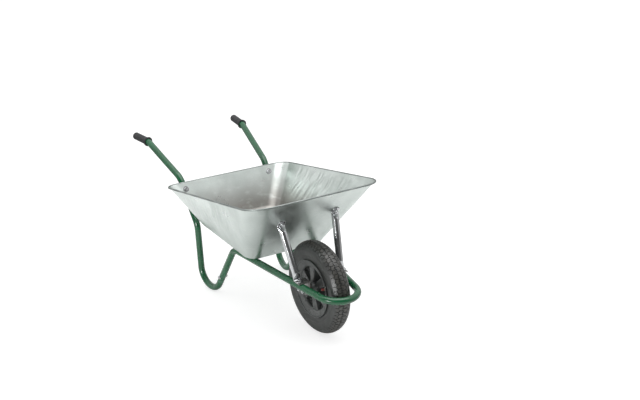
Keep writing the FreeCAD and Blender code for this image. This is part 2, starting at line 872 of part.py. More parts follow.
def rear_pan_fasteners():
    """Bolts from inside the pan, through its rear wall and the handle tubes."""
    outward = rear_wall_normal()
    bolts = []
    washers = []
    nuts = []
    for side_name, side in SIDES.items():
        wall = rear_bolt_on_wall() + Vector(0, side * rear_bolt_half_gap(), 0)
        inside = wall - outward * (cell("pan_wall") + cell("rear_washer_lift"))
        head = inside - outward * cell("washer_thickness")
        behind_tube = wall + outward * (2 * cell("tube_radius") + 2 * cell("pan_gap"))
        name = f"{side_name}_rear_pan"
        length = (behind_tube - head).Length + cell("nut_height") + cell("bolt_tail")
        bolts.append(bolt(f"{name}_bolt", head, outward, str(length)))
        washers.append(ring(f"{name}_washer", "dims.washer_radius", "dims.hole_radius",
                            "dims.washer_thickness", aim(head, outward)))
        nuts.append(nut(f"{name}_nut", behind_tube, outward))
    group("rear_pan_bolts", bolts)
    group("rear_pan_washers", washers)
    group("rear_pan_nuts", nuts)


def stay_top_fasteners():
    """Bolts from inside the pan, through its front wall and the stays' upper tabs."""
    outward = front_wall_normal()
    bolts = []
    washers = []
    nuts = []
    for side_name, side in SIDES.items():
        wall = stay_top(side)
        head = wall - outward * (cell("pan_wall") + cell("washer_thickness"))
        face = wall + outward * (cell("stay_tab_thickness") + 2 * cell("pan_gap"))
        name = f"{side_name}_stay_top"
        length = (face - head).Length + cell("nut_height") + cell("bolt_tail")
        bolts.append(bolt(f"{name}_bolt", head, outward, str(length)))
        washers.append(ring(f"{name}_washer", "dims.washer_radius", "dims.hole_radius",
                            "dims.washer_thickness", aim(head, outward)))
        nuts.append(nut(f"{name}_nut", face, outward))
    group("stay_top_bolts", bolts)
    group("stay_top_washers", washers)
    group("stay_top_nuts", nuts)


def stay_foot_fasteners():
    """Bolts down through the stays' lower tabs, the brackets and the rails."""
    down = rail_frame().Rotation.multVec(-Z_AXIS)
    flange_top = cell("tube_radius") + cell("bracket_plate")
    tab_top = flange_top + cell("stay_tab_thickness") + 2 * cell("pan_gap")
    bolts = []
    nuts = []
    for side_name, side in SIDES.items():
        head = rail_point(cell("stay_foot_ahead"), tab_top, side)
        under_tube = rail_point(cell("stay_foot_ahead"), -cell("tube_radius"), side)
        length = (head - under_tube).Length + cell("nut_height") + cell("bolt_tail")
        bolts.append(bolt(f"{side_name}_stay_foot_bolt", head, down, str(length)))
        nuts.append(nut(f"{side_name}_stay_foot_nut", under_tube, down))
    group("stay_foot_bolts", bolts)
    group("stay_foot_nuts", nuts)


def leg_joint_fasteners():
    """Bolts across the front legs, where the handle tubes' spigots enter the front frame."""
    bolts = []
    nuts = []
    for side_name, side in SIDES.items():
        centre = front_leg_point(cell("joint_bolt_height"), side)
        inward = leg_joint_direction(side)
        head = centre - inward * cell("tube_radius")
        far_side = centre + inward * cell("tube_radius")
        length = (far_side - head).Length + cell("nut_height") + cell("bolt_tail")
        bolts.append(bolt(f"{side_name}_joint_bolt", head, inward, str(length)))
        nuts.append(nut(f"{side_name}_joint_nut", far_side, inward))
    group("leg_joint_bolts", bolts)
    group("leg_joint_nuts", nuts)


# ---------------------------------------------------------------- wheel


def wheel_frame():
    """At the middle of the axle, with the wheel's own axis, Z, along the row's Y."""
    return aim(on_axle(0, 1), Y_AXIS)


def radial(turn, radius, across=0.0):
    """A point of the wheel, turn degrees up from straight ahead in the wheel's middle plane."""
    angle = math.radians(turn)
    centre = on_axle(0, 1)
    return centre + Vector(math.cos(angle) * radius, across, math.sin(angle) * radius)


def wheel_centre():
    """A one-piece moulding, kept as its rim and its hub with six broad spokes."""
    half = [
        ("dims.hub_radius", "dims.hub_half_length"),
        ("dims.hub_radius + dims.hub_flare", "dims.web_half_width + dims.hub_flare_rise"),
        ("dims.opening_outer_radius", "dims.web_half_width"),
        ("dims.opening_outer_radius + dims.face_step", "dims.web_half_width + dims.face_step"),
        ("dims.rim_lip_radius - dims.lip_band", "dims.rim_lip_half_width"),
        ("dims.rim_lip_radius", "dims.rim_lip_half_width - dims.lip_edge"),
        ("dims.rim_lip_radius", "dims.rim_lip_half_width - dims.lip_band"),
        ("dims.bead_seat_radius + dims.seat_edge", "dims.rim_lip_half_width - dims.seat_edge_in"),
        ("dims.bead_seat_radius", "dims.rim_lip_half_width - dims.seat_in"),
        ("dims.bead_seat_radius", "dims.web_half_width - dims.seat_inner_in"),
        ("dims.bead_seat_radius - dims.well_depth", "dims.web_half_width - dims.well_in"),
    ]
    mirrored = [(radius, f"-({up})") for radius, up in reversed(half)]
    points = [("dims.bush_radius + dims.axle_gap", "dims.hub_half_length")] + half + mirrored
    points.append(("dims.bush_radius + dims.axle_gap", "-dims.hub_half_length"))
    body = turned("moulded_centre", points)
    sketch = opening_sketch(body)
    pocket = body.newObject("PartDesign::Pocket", "opening")
    pocket.Profile = sketch
    pocket.Type = "ThroughAll"
    pocket.Midplane = True
    doc.recompute()
    pattern = body.newObject("PartDesign::PolarPattern", "openings")
    pattern.Originals = [pocket]
    pattern.Axis = (sketch, ["N_Axis"])
    pattern.Angle = 360
    pattern.Occurrences = int(cell("spoke_count"))
    body.Tip = pattern
    body.Placement = wheel_frame()
    valve_hole = cylinder("valve_hole", "dims.valve_hole_radius", "dims.valve_length",
                          valve_place(0))
    moulding = cut("drilled_moulding", body, valve_hole)
    place = aim(on_axle(cell("hub_half_length"), -1), Y_AXIS)
    length = "2 * dims.hub_half_length"
    core = cylinder("core", "dims.opening_outer_radius - dims.core_gap", length, place)
    core_cut = cylinder("core_cut", "dims.opening_outer_radius", length, place)
    spokes = doc.addObject("Part::Common", "hub_and_spokes")
    spokes.Base = moulding
    spokes.Tool = core
    subpart(spokes, "wheel_centre")
    subpart(cut("rim_only", moulding, core_cut), "wheel_rim")


def opening_sketch(body):
    """A wedge with clipped outer corners, between two spokes, on the wheel's middle plane."""
    sketch = body.newObject("Sketcher::SketchObject", "opening_outline")
    sketch.AttachmentSupport = [(origin_plane(body, "XY_Plane"), "")]
    sketch.MapMode = "FlatFace"
    inner = cell("opening_inner_radius")
    outer = cell("opening_outer_radius")
    pitch = 360 / cell("spoke_count")
    middle = wheel_angle(cell("spoke_turn") + pitch / 2)
    corner = cell("opening_corner")
    inner_half = cell("opening_inner_turn")
    outer_half = cell("opening_outer_turn")
    clipped_half = outer_half - math.degrees(corner / outer)

    def polar(radius, offset):
        angle = math.radians(middle + offset)
        return Vector(radius * math.cos(angle), radius * math.sin(angle), 0)

    corners = [
        polar(inner, -inner_half),
        polar(outer - corner, -outer_half),
        polar(outer, -clipped_half),
        polar(outer, clipped_half),
        polar(outer - corner, outer_half),
        polar(inner, inner_half),
    ]
    sketch.addGeometry(Part.LineSegment(corners[0], corners[1]), False)
    sketch.addGeometry(Part.LineSegment(corners[1], corners[2]), False)
    sketch.addGeometry(Part.Arc(corners[2], polar(outer, 0), corners[3]), False)
    sketch.addGeometry(Part.LineSegment(corners[3], corners[4]), False)
    sketch.addGeometry(Part.LineSegment(corners[4], corners[5]), False)
    sketch.addGeometry(Part.Arc(corners[5], polar(inner - corner, 0), corners[0]), False)
    return sketch


def wheel_angle(turn):
    """A turn in the wheel's middle plane as an angle about the wheel frame's own axis."""
    local = wheel_frame().inverse().multVec(radial(turn, 1.0))
    return math.degrees(math.atan2(local.y, local.x))


def bush(side_name, side):
    """A flanged plastic bush, pressed into one end of the hub."""
    bore = "dims.axle_radius + dims.axle_gap"
    body = turned(f"{side_name}_bush", [
        (bore, "-dims.bush_depth"),
        ("dims.bush_radius", "-dims.bush_depth"),
        ("dims.bush_radius", "0"),
        ("dims.bush_flange_radius", "0"),
        ("dims.bush_flange_radius", "dims.bush_flange"),
        (bore, "dims.bush_flange"),
    ])
    body.Placement = aim(on_axle(cell("hub_half_length"), side), Y_AXIS * side)
    subpart(body, f"{side_name}_wheel_bush")


def revolve_about_axle(wire):
    """Turn an outline, drawn ahead of the axle in the XY plane, right round the axle."""
    shape = Part.Face(wire).revolve(Vector(0, 0, 0), Y_AXIS, 360)
    return Part.Solid(shape) if shape.ShapeType == "Shell" else shape


def carcass(inset):
    """The outside of the tyre, or a line that far inside it: points from neck to crown."""
    belly_radius = cell("tyre_belly_radius")
    half_width = cell("tyre_half_width") - inset
    half_height = cell("tyre_radius") - belly_radius - cell("crown_ratio") * inset

    def oval_point(turn):
        angle = math.radians(turn)
        return Vector(belly_radius + half_height * math.sin(angle), half_width * math.cos(angle), 0)

    neck_radius = cell("rim_lip_radius") + cell("neck_gap") + inset / 2
    return {
        "neck": Vector(neck_radius, half_width - cell("neck_step"), 0),
        "sidewall": oval_point(-cell("sidewall_turn")),
        "belly": oval_point(0),
        "shoulder": oval_point(cell("shoulder_turn")),
        "edge": oval_point(cell("edge_turn")),
        "crown": oval_point(90),
    }


def flip(point):
    return Vector(point.x, -point.y, point.z)


def carcass_edges(inset):
    """Sidewall, shoulder and crown curves from the left neck to the right neck."""
    line = carcass(inset)
    arcs = [
        (line["neck"], line["sidewall"], line["belly"]),
        (line["belly"], line["shoulder"], line["edge"]),
        (line["edge"], line["crown"], flip(line["edge"])),
    ]
    arcs += [tuple(flip(point) for point in reversed(arc)) for arc in reversed(arcs[:2])]
    return [Part.Arc(*arc).toShape() for arc in arcs]


def polyline(points):
    return [Part.LineSegment(a, b).toShape() for a, b in zip(points, points[1:])]


def tyre():
    """The outer cover: two beads seated in the rim, thin sidewalls and a thicker crown."""
    seat = cell("bead_seat_radius") + cell("fit_gap")
    outside = carcass(0)["neck"]
    inside = carcass(cell("tyre_wall"))["neck"]
    toe_side = cell("web_half_width") - cell("toe_in")
    bead_out = cell("rim_lip_half_width") - cell("seat_in") - cell("fit_gap")
    heel = [
        inside,
        Vector(seat + cell("toe_height"), toe_side, 0),
        Vector(seat, toe_side, 0),
        Vector(seat, bead_out, 0),
        Vector(seat + cell("heel_height"), bead_out + cell("heel_out"), 0),
        Vector(cell("rim_lip_radius") + cell("lip_gap"), bead_out + cell("lip_out"), 0),
        outside,
    ]
    toe = [flip(point) for point in reversed(heel)]
    edges = polyline(heel) + carcass_edges(0) + polyline(toe)
    edges += [edge for edge in reversed(carcass_edges(cell("tyre_wall")))]
    wire = Part.Wire(Part.__sortEdges__(edges))
    subpart(feature("tyre", revolve_about_axle(wire), Placement(on_axle(0, 1), Rotation())), "tyre")


def inner_tube():
    """The air tube: a thin closed ring inside the tyre."""
    gap = cell("tyre_wall") + cell("tube_gap")
    skins = []
    for inset in (gap, gap + cell("tube_rubber")):
        floor = cell("bead_seat_radius") + inset - gap + cell("tube_floor")
        neck = carcass(inset)["neck"]
        floor_half_width = neck.y - cell("tube_floor_in")
        bottom = [
            neck,
            Vector(floor, floor_half_width, 0),
            Vector(floor, -floor_half_width, 0),
            flip(neck),
        ]
        edges = carcass_edges(inset) + polyline(bottom)
        skins.append(Part.Wire(Part.__sortEdges__(edges)))
    outside = revolve_about_axle(skins[0])
    inside = revolve_about_axle(skins[1])
    subpart(feature("inner_tube", outside.cut(inside), Placement(on_axle(0, 1), Rotation())),
            "inner_tube")


def valve_place(along):
    """A place that far along the valve, which leans from the rim well to the right face."""
    turn = cell("valve_turn")
    lean = math.radians(cell("valve_lean"))
    inward = radial(turn, 0) - radial(turn, 1)
    direction = inward * math.cos(lean) - Y_AXIS * math.sin(lean)
    base = radial(turn, cell("valve_base_radius"), cell("valve_base_across"))
    return aim(base + direction * along, direction)


def valve():
    """The inner tube's valve stem, which comes in through the rim well, and its cap."""
    stem = cylinder("valve_stem_rod", "dims.valve_radius", "dims.valve_length", valve_place(0))
    subpart(stem, "valve_stem")
    cap_place = valve_place(cell("valve_length") - cell("valve_cap_grip"))
    cap_outer = cylinder("valve_cap_outer", "dims.valve_cap_radius", "dims.valve_cap_length", cap_place)
    cap_bore = cylinder("valve_cap_bore", "dims.valve_radius + dims.axle_gap",
                        "dims.valve_cap_grip + dims.valve_cap_void", cap_place)
    subpart(cut("valve_cap_piece", cap_outer, cap_bore), "valve_cap")


# ---------------------------------------------------------------- build and export


def check_document():
    for item in doc.Objects:
        if "Invalid" in item.State or "Error" in item.State:
            raise RuntimeError(f"{item.Label} did not compute: {item.State}")
    for item in parts:
        if item.Shape.isNull() or not item.Shape.isValid():
            raise RuntimeError(f"{item.Label} has no valid shape")


def export():
    os.makedirs("parts", exist_ok=True)
    box = FreeCAD.BoundBox()
    for item in parts:
        item.Shape.exportStep(f"parts/{item.Label}.step")
        box.add(item.Shape.BoundBox)
        volume = item.Shape.Volume / 1000
        print(f"{item.Label:22s} {len(item.Shape.Solids)} solid(s) {volume:9.2f} cm3")
    print(f"box {box}")


def build():
    front_frame()
    for side_name, side in SIDES.items():
        handle_tube(side_name, side)
        grip(side_name, side)
        stay(side_name, side)
        axle_bracket(side_name, side)
        bush(side_name, side)
    pan()
    axle()
    rear_pan_fasteners()
    stay_top_fasteners()
    stay_foot_fasteners()
    leg_joint_fasteners()
    wheel_centre()
    tyre()
    inner_tube()
    valve()
    doc.recompute()
    check_document()
    export()


build()
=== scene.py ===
import math

import bmesh
import bpy
import numpy as np
from mathutils import Matrix, Vector, noise


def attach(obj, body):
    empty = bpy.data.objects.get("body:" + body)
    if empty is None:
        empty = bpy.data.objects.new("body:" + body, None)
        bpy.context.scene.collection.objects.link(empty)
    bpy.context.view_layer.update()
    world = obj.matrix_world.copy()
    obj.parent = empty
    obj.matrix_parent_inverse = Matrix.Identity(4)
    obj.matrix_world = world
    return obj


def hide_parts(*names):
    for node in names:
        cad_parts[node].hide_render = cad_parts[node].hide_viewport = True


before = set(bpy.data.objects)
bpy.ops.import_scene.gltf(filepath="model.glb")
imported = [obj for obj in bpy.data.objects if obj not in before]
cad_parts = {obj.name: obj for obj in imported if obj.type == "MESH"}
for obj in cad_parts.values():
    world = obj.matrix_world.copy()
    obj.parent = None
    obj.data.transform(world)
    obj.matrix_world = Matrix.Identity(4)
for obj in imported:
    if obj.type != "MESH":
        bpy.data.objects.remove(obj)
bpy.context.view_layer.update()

# Millimetres and degrees, in the row frame: +X forward to the wheel, +Y left, +Z up.
SIZES = {
    "axle_x": 444.9, "axle_height": 182.0,
    "rail_height": 218.1, "rail_slope": 0.059, "rail_splay": 0.157, "rail_half_gap": 98.5,
    "nose_radius": 78.4, "side_half_gap": 106.2, "side_splay": 0.129,
    "tube_radius": 13.45, "apex_back": 378.1, "apex_radius": 50.0,
    "foot_back": 614.9, "foot_drop": 149.6, "knee_back": 639.4, "knee_height": 264.4,
    "knee_radius": 100.0, "elbow_back": 749.0, "elbow_height": 442.5, "elbow_radius": 80.0,
    "wrist_back": 992.0, "wrist_height": 543.0, "wrist_half_gap": 230.5, "wrist_radius": 40.0,
    "handle_back": 1097.0, "handle_height": 545.8, "handle_half_gap": 242.5,
    "joint_height": 66.0, "joint_bolt_height": 87.0, "seam": 0.7,
    "pan_wall": 1.2, "contact_gap": 0.05, "base_front_back": 223.0,
    "base_half_width": 177.0, "base_rear_corner": 48.0, "base_front_corner": 55.0,
    "base_fillet": 30.0, "rim_front_ahead": 20.0, "rim_front_height": 554.0,
    "rim_rear_height": 428.0, "rim_half_width": 286.0, "rim_rear_corner": 54.0,
    "rim_front_corner": 85.0, "bead_radius": 3.5,
    "grip_length": 107.0, "grip_radius": 16.0, "grip_cap": 5.0,
    "grip_flange_radius": 22.0, "grip_flange_length": 6.0,
    "stay_radius": 14.0, "stay_tab_thickness": 4.0, "stay_tab_width": 38.0,
    "stay_tab_reach": 14.0, "stay_foot_ahead": 15.0, "stay_top_height": 449.0,
    "stay_top_half_gap": 120.3, "bracket_plate": 3.0, "bracket_inner": 60.0,
    "bolt_radius": 4.0, "bolt_flats": 13.0, "bolt_head": 5.3, "bolt_tail": 3.0,
    "nut_height": 6.5, "washer_radius": 12.5, "washer_thickness": 1.6,
    "rear_bolt_height": 404.0, "rear_washer_lift": 0.3,
    "axle_radius": 6.0, "axle_half_length": 79.0, "axle_nut_flats": 19.0,
    "axle_nut_height": 10.5, "axle_washer_radius": 12.0, "axle_washer_thickness": 2.5,
    "spacer_radius": 10.0, "hub_half_length": 46.0, "hub_radius": 23.0,
    "bush_flange_radius": 22.0, "bush_flange": 3.5, "side_gap": 0.4,
    "rim_lip_radius": 113.5, "rim_lip_half_width": 38.0, "bead_seat_radius": 101.5,
    "web_half_width": 24.0, "spoke_turn": 97.0, "opening_outer_radius": 84.0,
    "tyre_radius": 182.0, "tyre_half_width": 39.5,
    "tyre_belly_radius": 146.0, "neck_gap": 2.0, "neck_step": 5.5,
    "valve_turn": 17.0, "valve_base_radius": 106.0, "valve_base_across": 7.0,
    "valve_lean": 45.0, "valve_length": 51.0, "valve_radius": 4.0, "valve_cap_radius": 5.0,
    "valve_cap_length": 12.0, "valve_cap_grip": 9.0,
}
MM = 0.001
SIDES = {"left": 1, "right": -1}
X, Y, Z = np.eye(3)
SHARP = math.radians(32)
TUBE_SIDES = 64


def s(name):
    return SIZES[name]


# ---------------------------------------------------------------- small geometry


def unit(v):
    v = np.asarray(v, float)
    return v / np.linalg.norm(v)


def point(x, y, z):
    return np.array([x, y, z], float)


def across(axis):
    """Two directions square to an axis and to each other."""
    axis = unit(axis)
    guide = Z if abs(axis[2]) < 0.9 else X
    first = unit(np.cross(guide, axis))
    return first, np.cross(axis, first)


def at_height(low, high, z):
    return low + (high - low) * ((z - low[2]) / (high[2] - low[2]))


def bent_path(corners, radii, step=math.radians(2.5)):
    """Points along straight runs joined by tangent arcs."""
    corners = [np.asarray(c, float) for c in corners]
    points = [corners[0]]
    for before, corner, after, radius in zip(corners, corners[1:], corners[2:], radii):
        back, ahead = unit(before - corner), unit(after - corner)
        half = math.acos(float(np.clip(back @ ahead, -1, 1))) / 2
        centre = corner + unit(back + ahead) * radius / math.sin(half)
        start = corner + back * radius / math.tan(half) - centre
        end = corner + ahead * radius / math.tan(half) - centre
        turn = math.pi - 2 * half
        count = max(3, math.ceil(turn / step))
        for part in np.linspace(0, 1, count + 1):
            weights = math.sin((1 - part) * turn), math.sin(part * turn)
            points.append(centre + (weights[0] * start + weights[1] * end) / math.sin(turn))
    points.append(corners[-1])
    return np.array(points)


def grid_faces(rows, columns, wrap=True):
    """Quads over a grid whose columns may close on themselves."""
    faces = []
    for i in range(rows - 1):
        for j in range(columns if wrap else columns - 1):
            k = (j + 1) % columns
            faces.append((i * columns + j, i * columns + k,
                          (i + 1) * columns + k, (i + 1) * columns + j))
    return faces


def stacked(rings, cap_start=True, cap_end=True):
    """A closed skin over rings of equal length, as vertices and faces."""
    rings = [np.asarray(ring) for ring in rings]
    count = len(rings[0])
    vertices = [tuple(v) for ring in rings for v in ring]
    faces = grid_faces(len(rings), count)
    for wanted, ring, base in ((cap_start, rings[0], 0),
                               (cap_end, rings[-1], (len(rings) - 1) * count)):
        if wanted:
            vertices.append(tuple(ring.mean(axis=0)))
            hub = len(vertices) - 1
            faces += [(hub, base + j, base + (j + 1) % count) for j in range(count)]
    return vertices, faces


def joined(parts):
    """Several vertex and face lists as one."""
    vertices, faces = [], []
    for more_vertices, more_faces in parts:
        start = len(vertices)
        vertices += list(more_vertices)
        faces += [tuple(start + i for i in face) for face in more_faces]
    return vertices, faces


def round_section(points, radius, sides=48, seams=(0.0, 0.0)):
    """Rings of a round bar along points; seams narrow its two ends a little."""
    points = np.asarray(points)
    tangents = [unit(b - a) for a, b in zip(points, points[1:])]
    first, _ = across(tangents[0])
    rings = []
    turns = np.linspace(0, 2 * math.pi, sides, endpoint=False)
    for index, centre in enumerate(points):
        before = tangents[max(index - 1, 0)]
        after = tangents[min(index, len(tangents) - 1)]
        along = unit(before + after)
        first = unit(first - along * (first @ along))
        second = np.cross(along, first)
        circle = np.outer(np.cos(turns), first) + np.outer(np.sin(turns), second)
        if index == 0 and seams[0]:
            rings.append(centre + circle * (radius - seams[0]))
            rings.append(centre + along * seams[0] + circle * radius)
        elif index == len(points) - 1 and seams[1]:
            rings.append(centre - along * seams[1] + circle * radius)
            rings.append(centre + circle * (radius - seams[1]))
        else:
            rings.append(centre + circle * radius)
    return rings


def turned(origin, axis, profile, sides=96, shape=None):
    """Rings about an axis from (radius, height) pairs; shape(turn, radius, height) may reshape them."""
    axis = unit(axis)
    first, second = across(axis)
    turns = np.linspace(0, 2 * math.pi, sides, endpoint=False)
    rings = []
    for radius, height in profile:
        radii = [shape(turn, radius, height) if shape else radius for turn in turns]
        rings.append([origin + axis * height + (first * math.cos(t) + second * math.sin(t)) * r
                      for t, r in zip(turns, radii)])
    return rings


def softened(profile, radius, steps=4):
    """A profile of (radius, height) pairs with its inner corners rounded."""
    corners = [np.array([r, h, 0.0]) for r, h in profile]
    out = [corners[0]]
    for before, corner, after in zip(corners, corners[1:], corners[2:]):
        back, ahead = before - corner, after - corner
        reach = min(radius, np.linalg.norm(back) * 0.45, np.linalg.norm(ahead) * 0.45)
        start, end = corner + unit(back) * reach, corner + unit(ahead) * reach
        for part in np.linspace(0, 1, steps + 1):
            out.append((1 - part) ** 2 * start + 2 * part * (1 - part) * corner + part ** 2 * end)
    out.append(corners[-1])
    return [(p[0], p[1]) for p in out]


def closed_turned(origin, axis, profile, edge=0.5, sides=96, shape=None):
    """A turned solid whose profile starts and ends at the same place."""
    loop = softened(list(profile) + [profile[0], profile[1]], edge)
    rings = turned(origin, axis, loop[1:], sides, shape)
    return stacked(rings, False, False)


def smooth_step(x):
    x = np.clip(x, 0, 1)
    return x * x * (3 - 2 * x)


def cloud(p, scale, seed=0.0):
    """Soft noise between about -1 and 1 at a point in millimetres."""
    return noise.noise(Vector((p[0] * scale + seed, p[1] * scale, p[2] * scale)))


def piece(name, skin, slot, body, nodes, material=None, sharp=SHARP):
    """A mesh from a skin in millimetres, which rides on a body and stands for CAD nodes.

    It looks as its slot does, unless another material is named.
    """
    vertices, faces = skin
    mesh = bpy.data.meshes.new(name)
    mesh.from_pydata([tuple(c * MM for c in v) for v in vertices], [], faces)
    editable = bmesh.new()
    editable.from_mesh(mesh)
    bmesh.ops.remove_doubles(editable, verts=editable.verts, dist=1e-6)
    bmesh.ops.dissolve_degenerate(editable, edges=editable.edges, dist=1e-6)
    bmesh.ops.recalc_face_normals(editable, faces=editable.faces)
    editable.to_mesh(mesh)
    editable.free()
    mesh.shade_smooth()
    mesh.set_sharp_from_angle(angle=sharp)
    mesh.materials.append(MATERIALS[material or slot])
    item = bpy.data.objects.new(name, mesh)
    bpy.context.scene.collection.objects.link(item)
    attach(item, body)
    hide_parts(*nodes)


# ---------------------------------------------------------------- where things are


def behind_axle(distance, height, half_gap, side):
    return point(s("axle_x") - distance, side * half_gap, height)


def in_side_plane(distance, height, side):
    return behind_axle(distance, height, s("side_half_gap") + s("side_splay") * distance, side)


def rail_height_at(x):
    return s("rail_height") - s("rail_slope") * (x - s("axle_x"))


def rail_half_gap_at(ahead):
    return s("rail_half_gap") - s("rail_splay") * ahead


def rail_apex(side):
    back = s("apex_back")
    return behind_axle(back, rail_height_at(s("axle_x") - back), rail_half_gap_at(-back), side)


def rail_axes():
    """The rails' own directions: ahead, down their slope, and up, square to it."""
    ahead = unit([1, 0, -s("rail_slope")])
    return ahead, np.cross(ahead, Y)


def rail_point(forward, up, side):
    ahead, upward = rail_axes()
    centre = point(s("axle_x"), 0, s("rail_height"))
    return centre + ahead * forward + upward * up + Y * side * rail_half_gap_at(forward)


def handle_corners(side):
    return [
        behind_axle(s("handle_back"), s("handle_height"), s("handle_half_gap"), side),
        behind_axle(s("wrist_back"), s("wrist_height"), s("wrist_half_gap"), side),
        in_side_plane(s("elbow_back"), s("elbow_height"), side),
        in_side_plane(s("knee_back"), s("knee_height"), side),
        in_side_plane(s("foot_back"), -s("foot_drop"), side),
        rail_apex(side),
    ]


def foot_radius(before, corner, after):
    """The bend radius that lets the foot's tube just touch the ground."""
    first, second = unit(before - corner), unit(after - corner)
    half = math.acos(float(first @ second)) / 2
    rise = unit(first + second)[2] / math.sin(half) - 1
    return (s("tube_radius") - corner[2]) / rise


def front_leg_point(z, side):
    corners = handle_corners(side)
    return at_height(corners[4], corners[5], z)


def leg_joint_direction(side):
    corners = handle_corners(side)
    square = unit(np.cross(corners[3] - corners[4], corners[5] - corners[4]))
    return square if square[1] * side < 0 else -square


def rear_wall_normal():
    corners = handle_corners(1)
    along = corners[2] - corners[3]
    return unit([-along[2], 0, along[0]])


def rear_wall_x(z):
    corners = handle_corners(1)
    offset = rear_wall_normal() * (s("tube_radius") + s("contact_gap"))
    return at_height(corners[3] - offset, corners[2] - offset, z)[0]


def front_wall_line():
    base_x = s("axle_x") - s("base_front_back")
    base_z = rail_height_at(base_x) + s("tube_radius") + s("contact_gap")
    return point(base_x, 0, base_z), point(s("axle_x") + s("rim_front_ahead"), 0, s("rim_front_height"))


def front_wall_normal():
    low, high = front_wall_line()
    along = high - low
    return unit([along[2], 0, -along[0]])


def pan_levels():
    """Rear and front points of the pan's base and of its rim, in the middle plane."""
    base_front, rim_front = front_wall_line()
    base_rear_z = base_front[2]
    for _ in range(5):
        base_rear_x = rear_wall_x(base_rear_z)
        base_rear_z = base_front[2] + s("rail_slope") * (base_front[0] - base_rear_x)
    rim_rear_z = s("rim_rear_height")
    return {
        "base": (point(base_rear_x, 0, base_rear_z), base_front),
        "rim": (point(rear_wall_x(rim_rear_z), 0, rim_rear_z), rim_front),
    }


def rear_bolt_place(side):
    """Where a rear bolt crosses the outside of the rear wall."""
    height = s("rear_bolt_height")
    outward = rear_wall_normal()
    middle = point(rear_wall_x(height), 0, height)
    tube_z = (middle + outward * (s("tube_radius") + s("contact_gap")))[2]
    corners = handle_corners(1)
    return middle + Y * side * at_height(corners[3], corners[2], tube_z)[1]


def stay_top_place(side):
    """Where a stay's top bolt crosses the outside of the front wall."""
    spot = at_height(*front_wall_line(), s("stay_top_height"))
    return point(spot[0], side * s("stay_top_half_gap"), spot[2])


def on_axle(distance, side):
    return point(s("axle_x"), side * distance, s("axle_height"))


def wheel_point(turn, radius, distance=0.0):
    """A point of the wheel, turn degrees up from straight ahead."""
    angle = math.radians(turn)
    return on_axle(distance, 1) + point(math.cos(angle) * radius, 0, math.sin(angle) * radius)


# ---------------------------------------------------------------- materials


class Nodes:
    """A small helper around one material's node tree."""

    def __init__(self, name):
        self.material = bpy.data.materials.new(name)
        self.material.use_nodes = True
        self.tree = self.material.node_tree
        self.shader = self.tree.nodes["Principled BSDF"]
        self.place = self.add("ShaderNodeTexCoord").outputs["Object"]

    def add(self, kind, **settings):
        node = self.tree.nodes.new(kind)
        for key, value in settings.items():
            if hasattr(node, key):
                setattr(node, key, value)
            else:
                node.inputs[key.replace("_", " ")].default_value = value
        return node

    def link(self, source, target):
        self.tree.links.new(source, target)

    def stretched(self, scale):
        """Object coordinates, in metres, scaled per axis."""
        mapping = self.add("ShaderNodeMapping")
        mapping.inputs["Scale"].default_value = scale
        self.link(self.place, mapping.inputs["Vector"])
        return mapping.outputs["Vector"]

    def noise(self, scale, detail=3.0, roughness=0.55, stretch=None, distortion=0.0):
        node = self.add("ShaderNodeTexNoise", Scale=scale, Detail=detail, Roughness=roughness,
                        Distortion=distortion)
        self.link(self.stretched(stretch) if stretch else self.place, node.inputs["Vector"])
        return node.outputs["Fac"]

    def spread(self, value, low, high, to_low=0.0, to_high=1.0):
        node = self.add("ShaderNodeMapRange")
        names = ("From Min", "From Max", "To Min", "To Max")
        for name, number in zip(names, (low, high, to_low, to_high)):
            node.inputs[name].default_value = number
        self.link(value, node.inputs["Value"])
        return node.outputs["Result"]

    def patches(self, settings, to_low=0.0, to_high=1.0):
        """Soft patches between two values, from the settings of a noise."""
        return self.spread(self.noise(*settings), 0.3, 0.7, to_low, to_high)

    def share(self, value, amount):
        return self.sum(value, amount, "MULTIPLY")

    def mix(self, factor, first, second):
        """Mix two colours; each is a socket or an RGB triple."""
        node = self.add("ShaderNodeMix", data_type="RGBA")
        self.link(factor, node.inputs["Factor"])
        for socket, value in ((node.inputs[6], first), (node.inputs[7], second)):
            if isinstance(value, tuple):
                socket.default_value = (*value, 1)
            else:
                self.link(value, socket)
        return node.outputs[2]

    def sum(self, first, second, operation="ADD", clamp=False):
        node = self.add("ShaderNodeMath", operation=operation, use_clamp=clamp)
        for socket, value in zip(node.inputs, (first, second)):
            if isinstance(value, (int, float)):
                socket.default_value = value
            else:
                self.link(value, socket)
        return node.outputs[0]

    def edges(self, low, high):
        """1 along raised edges, 0 elsewhere, broken up by noise."""
        point_out = self.add("ShaderNodeNewGeometry").outputs["Pointiness"]
        edge = self.spread(point_out, low, high)
        return self.sum(edge, self.spread(self.noise(90, 4), 0.35, 0.6), "MULTIPLY", True)

    def bump(self, heights):
        """Chain (height socket, distance in metres, strength) bumps into the normal."""
        normal = None
        for height, distance, strength in heights:
            node = self.add("ShaderNodeBump", Distance=distance, Strength=strength)
            self.link(height, node.inputs["Height"])
            if normal is not None:
                self.link(normal, node.inputs["Normal"])
            normal = node.outputs["Normal"]
        self.link(normal, self.shader.inputs["Normal"])

    def finish(self, colour, roughness, **uniform):
        self.link(colour, self.shader.inputs["Base Color"])
        self.link(roughness, self.shader.inputs["Roughness"])
        for key, value in uniform.items():
            self.shader.inputs[key.replace("_", " ")].default_value = value
        return self.material


